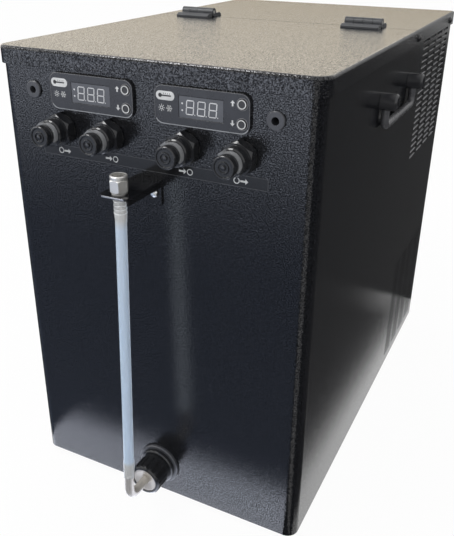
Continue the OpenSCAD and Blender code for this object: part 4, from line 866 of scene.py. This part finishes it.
    def barb_rings(self):
        """Swellings of the tube over the barb's teeth."""
        low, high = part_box("hose_barb")
        centre = (low + high) / 2
        tube_low, tube_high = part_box("sight_tube")
        radius = (tube_high.x - tube_low.x) / 2
        turns, sides, swell = BARB_RINGS.around, BARB_RINGS.section, BARB_RINGS.swell
        bm = bmesh.new()
        for ring in range(BARB_RINGS.count):
            z = tube_high.z - BARB_RINGS.first - ring * BARB_RINGS.pitch
            loops = [[bm.verts.new((centre.x + (radius + swell * out) * way_x,
                                    centre.y + (radius + swell * out) * way_y, z + 2 * swell * up))
                      for out, up in circle(0, 0, 1, sides)]
                     for way_x, way_y in circle(0, 0, 1, turns)]
            for i in range(turns):
                a, b = loops[i], loops[(i + 1) % turns]
                for j in range(sides):
                    k = (j + 1) % sides
                    bm.faces.new((a[j], a[k], b[k], b[j]))
        pale = moulded("tube_swelling", (0.7, 0.72, 0.74), 0.15, edge=0)
        pale.set(Subsurface_Weight=0.6, Subsurface_Radius=(1, 1, 1), Subsurface_Scale=1 * MM)
        new_piece("tube_rings", bm, pale, smooth=True)


# Port label: a clear strip under the ports with a flow sign for each of them

LABEL_BELOW_PORTS = 18.4 * MM
LABEL_SIZE = (202 * MM, 9.4 * MM)
LABEL_EDGE = 0.35 * MM
LABEL_CORNERS = (0.8 * MM, 0.6 * MM)
FLOW_RING = (2.5 * MM, 1.85 * MM)
RING_BESIDE = 3.6 * MM
FLOW_ARROW = (6.4 * MM, 4.2 * MM)
ARROW_BESIDE = 2.6 * MM


class CHILLER_OT_port_label(bpy.types.Operator):
    """Label strip and flow signs under the hose ports"""

    bl_idname = "chiller.port_label"
    bl_label = "Print the port label"

    def execute(self, context):
        marks = context.scene.chiller_marks
        ink = moulded("label_ink", tuple(marks.ink), 0.5, edge=0)
        film = moulded("label_film", (0.008, 0.0085, 0.0095), 0.14, 6 * MM, 0.012 * MM, 0)
        rim = moulded("label_rim", (0.075, 0.077, 0.082), 0.3, edge=0)
        panel_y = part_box("front_panel")[0].y
        port_z = sum(corner.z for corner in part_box("plug_in_left")) / 2
        middle = Vector((0, panel_y, port_z - LABEL_BELOW_PORTS))
        outer, inner = (round_rect(0, 0, *(size - inset for size in LABEL_SIZE), corner)
                        for inset, corner in zip((0, 2 * LABEL_EDGE), LABEL_CORNERS))
        FrontPrint(middle).shape(outer).piece("port_label_film", film)
        FrontPrint(middle, 0.5).band(outer, inner).piece("port_label_rim", rim)
        signs = FrontPrint(middle, 1)
        for port in PORTS:
            low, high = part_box("plug_" + port)
            x = (low.x + high.x) / 2
            way = 1 if port.startswith("out") else -1
            signs.ring(x - way * RING_BESIDE, 0, *FLOW_RING)
            signs.arrow(x + way * ARROW_BESIDE, 0, *FLOW_ARROW, (1, 0))
        signs.piece("flow_signs", ink)
        return {"FINISHED"}


# Stage: places in metres, tones as brightness

FLOOR_REACH = 8
CARD_REACH = 6
CARD_LIFT = 0.4 * MM
ALONG_Y, ALONG_Z = (0, 1, 0), (0, 0, 1)
WHITE = (1, 1, 1)

# Place along Y, brightness and share of the cool colour
FRONT_TONES = ((-6, 2.05, 0.45), (-1.77, 1.95, 0.45), (-1.09, 0.8, 0.55), (-0.85, 0.42, 0.85),
               (-0.69, 0.345, 1), (-0.266, 0.335, 1))
FRONT_GLOW = ((-0.25, (2.35, 2.5, 2.95)), (-0.2, (2.6, 2.75, 3.15)))
FRONT_STRENGTH = 3.2
GLOW_ENDS = (-0.155, 0.125)

# Distance from the middle and brightness
SIDE_TONES = ((0.126, 0.98), (0.149, 0.98), (0.1545, 0.82), (0.1595, 0.36), (0.1645, 0.16),
              (0.174, 0.08), (0.2, 0.06), (6, 0.055))
SIDE_SPREAD = -0.03
SIDE_STRENGTH = 1.3
LIGHT_FLOOR_END = 0.305
REAR_GLOW = Group(start=0.166, stop=0.2, tones=((0.235, 0.1), (0.285, 0.34), (0.305, 0.38)))
BACK_TONES = ((0.25, 0.9), (0.3, 0.3), (0.6, 0.15), (6, 0.2))
CORNER_GLOW = Group(start=math.radians(-84), stop=math.radians(-50), reach=5, tone=0.6,
                    around=0.03)
# Gloss-only strip behind the sight tube: a painted reflection of the tube in the front panel
TUBE_REFLECTION = Group(left=-0.004, right=0.0095, behind=0.0057, above=0.006, strength=1.1,
               color=(0.76, 0.86, 1))
SPARK = Group(at=(-0.85, -0.55, 0.8), aim=0.8 / 3, half=0.22, strength=6)

# Height, brightness and share of the warm colour
REFLECTOR_TONES = ((0, 0.42, 1), (0.6, 0.46, 1), (0.66, 0.52, 1), (0.78, 0.78, 0.9),
                   (0.98, 2, 0.58), (1.4, 2.3, 0.5))
REFLECTOR_STRENGTH = 2.3
REFLECTOR_AT = 2.6
REFLECTOR_RIGHT = -0.15
DARK_FLAG_TONES = ((0, 0.05), (0.03, 0.09), (0.055, 0.11), (0.09, 0.25), (0.126, 0.4),
                   (0.17, 0.43), (1, 0.45))
WORLD_LIGHT = 0.8
SOFTBOX = Group(size=(0.45, 0.35), power=6, at=(-0.5, -0.55, 1.35), aim=(0, 0, 0.25))
SENSOR_WIDTH = 36


class StageGraph(Graph):
    """Node tree that starts empty, for the floor, the cards and the world."""

    def __init__(self, owner):
        super().__init__(owner)
        self.tree.nodes.clear()

    def light(self, kind, color, strength=1.0):
        """Emission or background of one colour."""
        return self.add(kind, {"Color": (*color, 1), "Strength": strength})

    def seen(self):
        """1 for what the eye sees straight, in a mirror or through glass."""
        path = self.add("ShaderNodeLightPath")
        value = path.outputs["Is Camera Ray"]
        for name in ("Is Glossy Ray", "Is Transmission Ray"):
            value = self.math("MAXIMUM", value, path.outputs[name])
        return value

    def blend(self, share, first, second):
        """The first shader where the share is 0, the second where it is 1."""
        mix = self.add("ShaderNodeMixShader")
        self.link(share, mix, "Fac")
        self.link(first.outputs[0], mix, 1)
        self.link(second.outputs[0], mix, 2)
        return mix

    def show(self, shader, output="ShaderNodeOutputMaterial"):
        self.link(shader.outputs[0], self.add(output), "Surface")


def strip(x0, x1, y0, y1, z=CARD_LIFT):
    """Corners of a level strip."""
    return ((x0, y0, z), (x1, y0, z), (x1, y1, z), (x0, y1, z))


def upright(x0, x1, top):
    """Corners of a wall behind the object."""
    return ((x0, REFLECTOR_AT, 0), (x1, REFLECTOR_AT, 0), (x1, REFLECTOR_AT, top),
            (x0, REFLECTOR_AT, top))


def neutral(stops, strength):
    """Stops without a colour."""
    return [(at, (level / strength,) * 3) for at, level in stops]


def tinted(color, stops, strength):
    """Stops with only a share of a colour in each."""
    return [(at, tone([1 - share * (1 - part) for part in color], level / strength))
            for at, level, share in stops]


class CHILLER_OT_stage(bpy.types.Operator):
    """Pale floor, soft light and camera"""

    bl_idname = "chiller.stage"
    bl_label = "Set the stage"

    def execute(self, context):
        stage = context.scene.chiller_stage
        context.scene.view_settings.view_transform = "Standard"
        self.floor(stage)
        self.cards(stage)
        self.world(context.scene)
        self.lamp()
        self.camera(context.scene, stage)
        return {"FINISHED"}

    def sheet(self, name, outlines, material):
        """Flat stage piece from outlines."""
        bm = bmesh.new()
        for outline in outlines:
            bm.faces.new([bm.verts.new(point) for point in outline])
        sheet = mesh_object(name, bm, material)
        return sheet

    def floor(self, stage):
        """White floor that keeps a soft shadow of the object."""
        material = bpy.data.materials.new("floor_white")
        graph = StageGraph(material)
        matte = graph.add("ShaderNodeBsdfDiffuse", {"Color": (*stage.floor_color, 1)})
        white = graph.light("ShaderNodeEmission", WHITE)
        share = graph.math("MULTIPLY", graph.seen(), stage.floor_white)
        graph.show(graph.blend(share, matte, white))
        reach = FLOOR_REACH
        self.sheet("floor", [strip(-reach, reach, -reach, reach, 0)], material)

    def card(self, name, outlines, axis, stops, strength):
        """Reflector or flag that only shows in gloss: its tone runs along one axis in metres."""
        material = bpy.data.materials.new(name)
        graph = StageGraph(material)
        along = graph.add("ShaderNodeVectorMath", {1: axis}, operation="DOT_PRODUCT")
        graph.link(graph.add("ShaderNodeTexCoord").outputs["Object"], along, 0)
        start, stop = stops[0][0], stops[-1][0]
        share = graph.spread(along.outputs["Value"], 0, 1, start, stop)
        shares = [((at - start) / (stop - start), color) for at, color in stops]
        glow = graph.light("ShaderNodeEmission", WHITE, strength)
        graph.link(graph.ramp(share, shares), glow, "Color")
        graph.show(glow)
        card = self.sheet(name, outlines, material)
        card.visible_camera = False
        card.visible_diffuse = False
        card.visible_transmission = False
        card.visible_shadow = False

    def plain(self, name, outlines, color, strength=1.0):
        """Card of one colour."""
        self.card(name, outlines, ALONG_Z, [(-1, color), (1, color)], strength)

    def cards(self, stage):
        """Cards on the floor, small ones for glints, and a reflector and a flag at the back."""
        front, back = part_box("front_panel")[0].y, CAD_BOX[1][1]
        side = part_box("side_panel_right")[1].x
        reach, end = CARD_REACH, LIGHT_FLOOR_END
        first, last = GLOW_ENDS
        dull = tinted(stage.cool_light, FRONT_TONES, FRONT_STRENGTH)
        lit = dull + [(y, tone(color, 1 / FRONT_STRENGTH)) for y, color in FRONT_GLOW]
        self.card("front_card", [strip(first, last, -reach, front)], ALONG_Y, lit, FRONT_STRENGTH)
        self.card("front_left_card", [strip(-reach, first, -reach, front)], ALONG_Y, dull,
                  FRONT_STRENGTH)
        right = neutral(SIDE_TONES, SIDE_STRENGTH)
        self.card("right_card", [strip(side, reach, front, end)], (1, -SIDE_SPREAD, 0), right,
                  SIDE_STRENGTH)
        left = [(-x, color) for x, color in reversed(right)]
        self.card("left_card", [strip(-reach, -side, front, end)], (1, SIDE_SPREAD, 0), left,
                  SIDE_STRENGTH)
        lamplit = neutral(REAR_GLOW.tones, 1)
        self.card("rear_glow", [strip(REAR_GLOW.start, REAR_GLOW.stop, lamplit[0][0], end,
                                      2 * CARD_LIFT)], ALONG_Y, lamplit, 1)
        self.plain("far_cards", [strip(-reach, -side, end, reach), strip(side, reach, end, reach)],
                   (SIDE_TONES[-1][1],) * 3)
        self.card("back_card", [strip(-side, side, back, reach)], ALONG_Y,
                  neutral(BACK_TONES, SIDE_STRENGTH), SIDE_STRENGTH)
        self.corner(last, side, front)
        self.paint_tube_reflection()
        self.spark(front)
        self.card("warm_reflector", [upright(-reach, REFLECTOR_RIGHT, REFLECTOR_TONES[-1][0])],
                  ALONG_Z, tinted(stage.warm_light, REFLECTOR_TONES, REFLECTOR_STRENGTH),
                  REFLECTOR_STRENGTH)
        self.card("dark_flag", [upright(REFLECTOR_RIGHT, reach, DARK_FLAG_TONES[-1][0])], ALONG_Z,
                  neutral(DARK_FLAG_TONES, 1), 1)

    def corner(self, last, side, front):
        """Dark floor ahead of the right corner, with a light wedge for a line down the bend."""
        self.plain("corner_card", [strip(last, CARD_REACH, -CARD_REACH, front)],
                   (CORNER_GLOW.around,) * 3)
        foot = Vector((side, front, 2 * CARD_LIFT))
        ends = [foot + Vector((math.cos(ray), math.sin(ray), 0)) * CORNER_GLOW.reach
                for ray in (CORNER_GLOW.start, CORNER_GLOW.stop)]
        self.plain("corner_glow", [(foot, ends[0], sum(ends, Vector()) / 2, ends[1])],
                   (CORNER_GLOW.tone,) * 3)

    def spark(self, front):
        """Small bright card at the upper left, for glints on edges."""
        place = Vector(SPARK.at)
        aim = Vector((0, front, SPARK.aim)) - place
        across = aim.cross(Vector(ALONG_Z)).normalized() * SPARK.half
        up = across.cross(aim).normalized() * SPARK.half
        corners = (place - across - up, place + across - up, place + across + up,
                   place - across + up)
        self.plain("spark_card", [corners], WHITE, SPARK.strength)

    def paint_tube_reflection(self):
        """Pale strip behind the sight tube that shows only in gloss: a painted reflection of the
        tube, so that the tube's mirror image in the panel is light.
        """
        low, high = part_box("sight_tube")
        radius = (high.x - low.x) / 2
        left, right, foot = TUBE_REFLECTION.left, TUBE_REFLECTION.right, low.z + TUBE_REFLECTION.above
        bottom, top = (y + TUBE_REFLECTION.behind for y in (low.y + radius, high.y - radius))
        corners = ((left, bottom, foot), (right, bottom, foot), (right, top, high.z),
                   (left, top, high.z))
        self.plain("painted_tube_reflection", [corners], TUBE_REFLECTION.color, TUBE_REFLECTION.strength)

    def world(self, scene):
        """White to the eye and in gloss, and even soft light on everything else."""
        scene.world = bpy.data.worlds.new("studio")
        graph = StageGraph(scene.world)
        light = graph.light("ShaderNodeBackground", WHITE, WORLD_LIGHT)
        white = graph.light("ShaderNodeBackground", WHITE)
        graph.show(graph.blend(graph.seen(), light, white), "ShaderNodeOutputWorld")

    def lamp(self):
        """One soft lamp above the front left."""
        data = bpy.data.lights.new("softbox", "AREA")
        data.shape = "RECTANGLE"
        data.size, data.size_y = SOFTBOX.size
        data.energy = SOFTBOX.power
        lamp = bpy.data.objects.new("softbox", data)
        lamp.location = SOFTBOX.at
        aim = Vector(SOFTBOX.aim) - lamp.location
        lamp.rotation_euler = aim.to_track_quat("-Z", "Y").to_euler()
        bpy.context.scene.collection.objects.link(lamp)

    def camera(self, scene, stage):
        """Camera at the photo's viewpoint."""
        data = bpy.data.cameras.new("photo_camera")
        data.sensor_width = SENSOR_WIDTH
        data.lens = stage.lens
        data.shift_x, data.shift_y = stage.shift
        camera = bpy.data.objects.new("photo_camera", data)
        scene.collection.objects.link(camera)
        az, el, roll = stage.azimuth, stage.elevation, stage.roll
        ahead = Vector((-math.sin(az) * math.cos(el), math.cos(az) * math.cos(el), -math.sin(el)))
        across = ahead.cross(Vector(ALONG_Z)).normalized()
        upward = across.cross(ahead)
        right = across * math.cos(roll) + upward * math.sin(roll)
        up = upward * math.cos(roll) - across * math.sin(roll)
        turn = Matrix((right, up, -ahead)).transposed().to_4x4()
        camera.matrix_world = Matrix.Translation(stage.camera_place) @ turn
        scene.camera = camera


class CHILLER_PT_looks(bpy.types.Panel):
    """Lists the steps that dress the chiller."""

    bl_label = "Chiller looks"
    bl_idname = "CHILLER_PT_looks"
    bl_space_type = "VIEW_3D"
    bl_region_type = "UI"
    bl_category = "Chiller"

    def draw(self, context):
        for operator in OPERATORS:
            self.layout.operator(operator.bl_idname)
        for group in SETTINGS:
            settings = getattr(context.scene, group)
            box = self.layout.box()
            for name in settings.__annotations__:
                box.prop(settings, name)


SETTINGS = {"chiller_coat": CoatSettings, "chiller_marks": MarkSettings,
            "chiller_stage": StageSettings}
OPERATORS = (CHILLER_OT_casing, CHILLER_OT_fittings, CHILLER_OT_insides,
             CHILLER_OT_controller_faces, CHILLER_OT_trim, CHILLER_OT_port_label, CHILLER_OT_stage)
CLASSES = (*SETTINGS.values(), *OPERATORS, CHILLER_PT_looks)


def register():
    for cls in CLASSES:
        bpy.utils.register_class(cls)
    for name, cls in SETTINGS.items():
        setattr(bpy.types.Scene, name, PointerProperty(type=cls))


def unregister():
    for name in SETTINGS:
        delattr(bpy.types.Scene, name)
    for cls in reversed(CLASSES):
        bpy.utils.unregister_class(cls)


def main():
    register()
    bpy.ops.chiller.casing()
    bpy.ops.chiller.fittings()
    bpy.ops.chiller.insides()
    bpy.ops.chiller.controller_faces()
    bpy.ops.chiller.trim()
    bpy.ops.chiller.port_label()
    bpy.ops.chiller.stage()


if __name__ == "__main__":
    main()
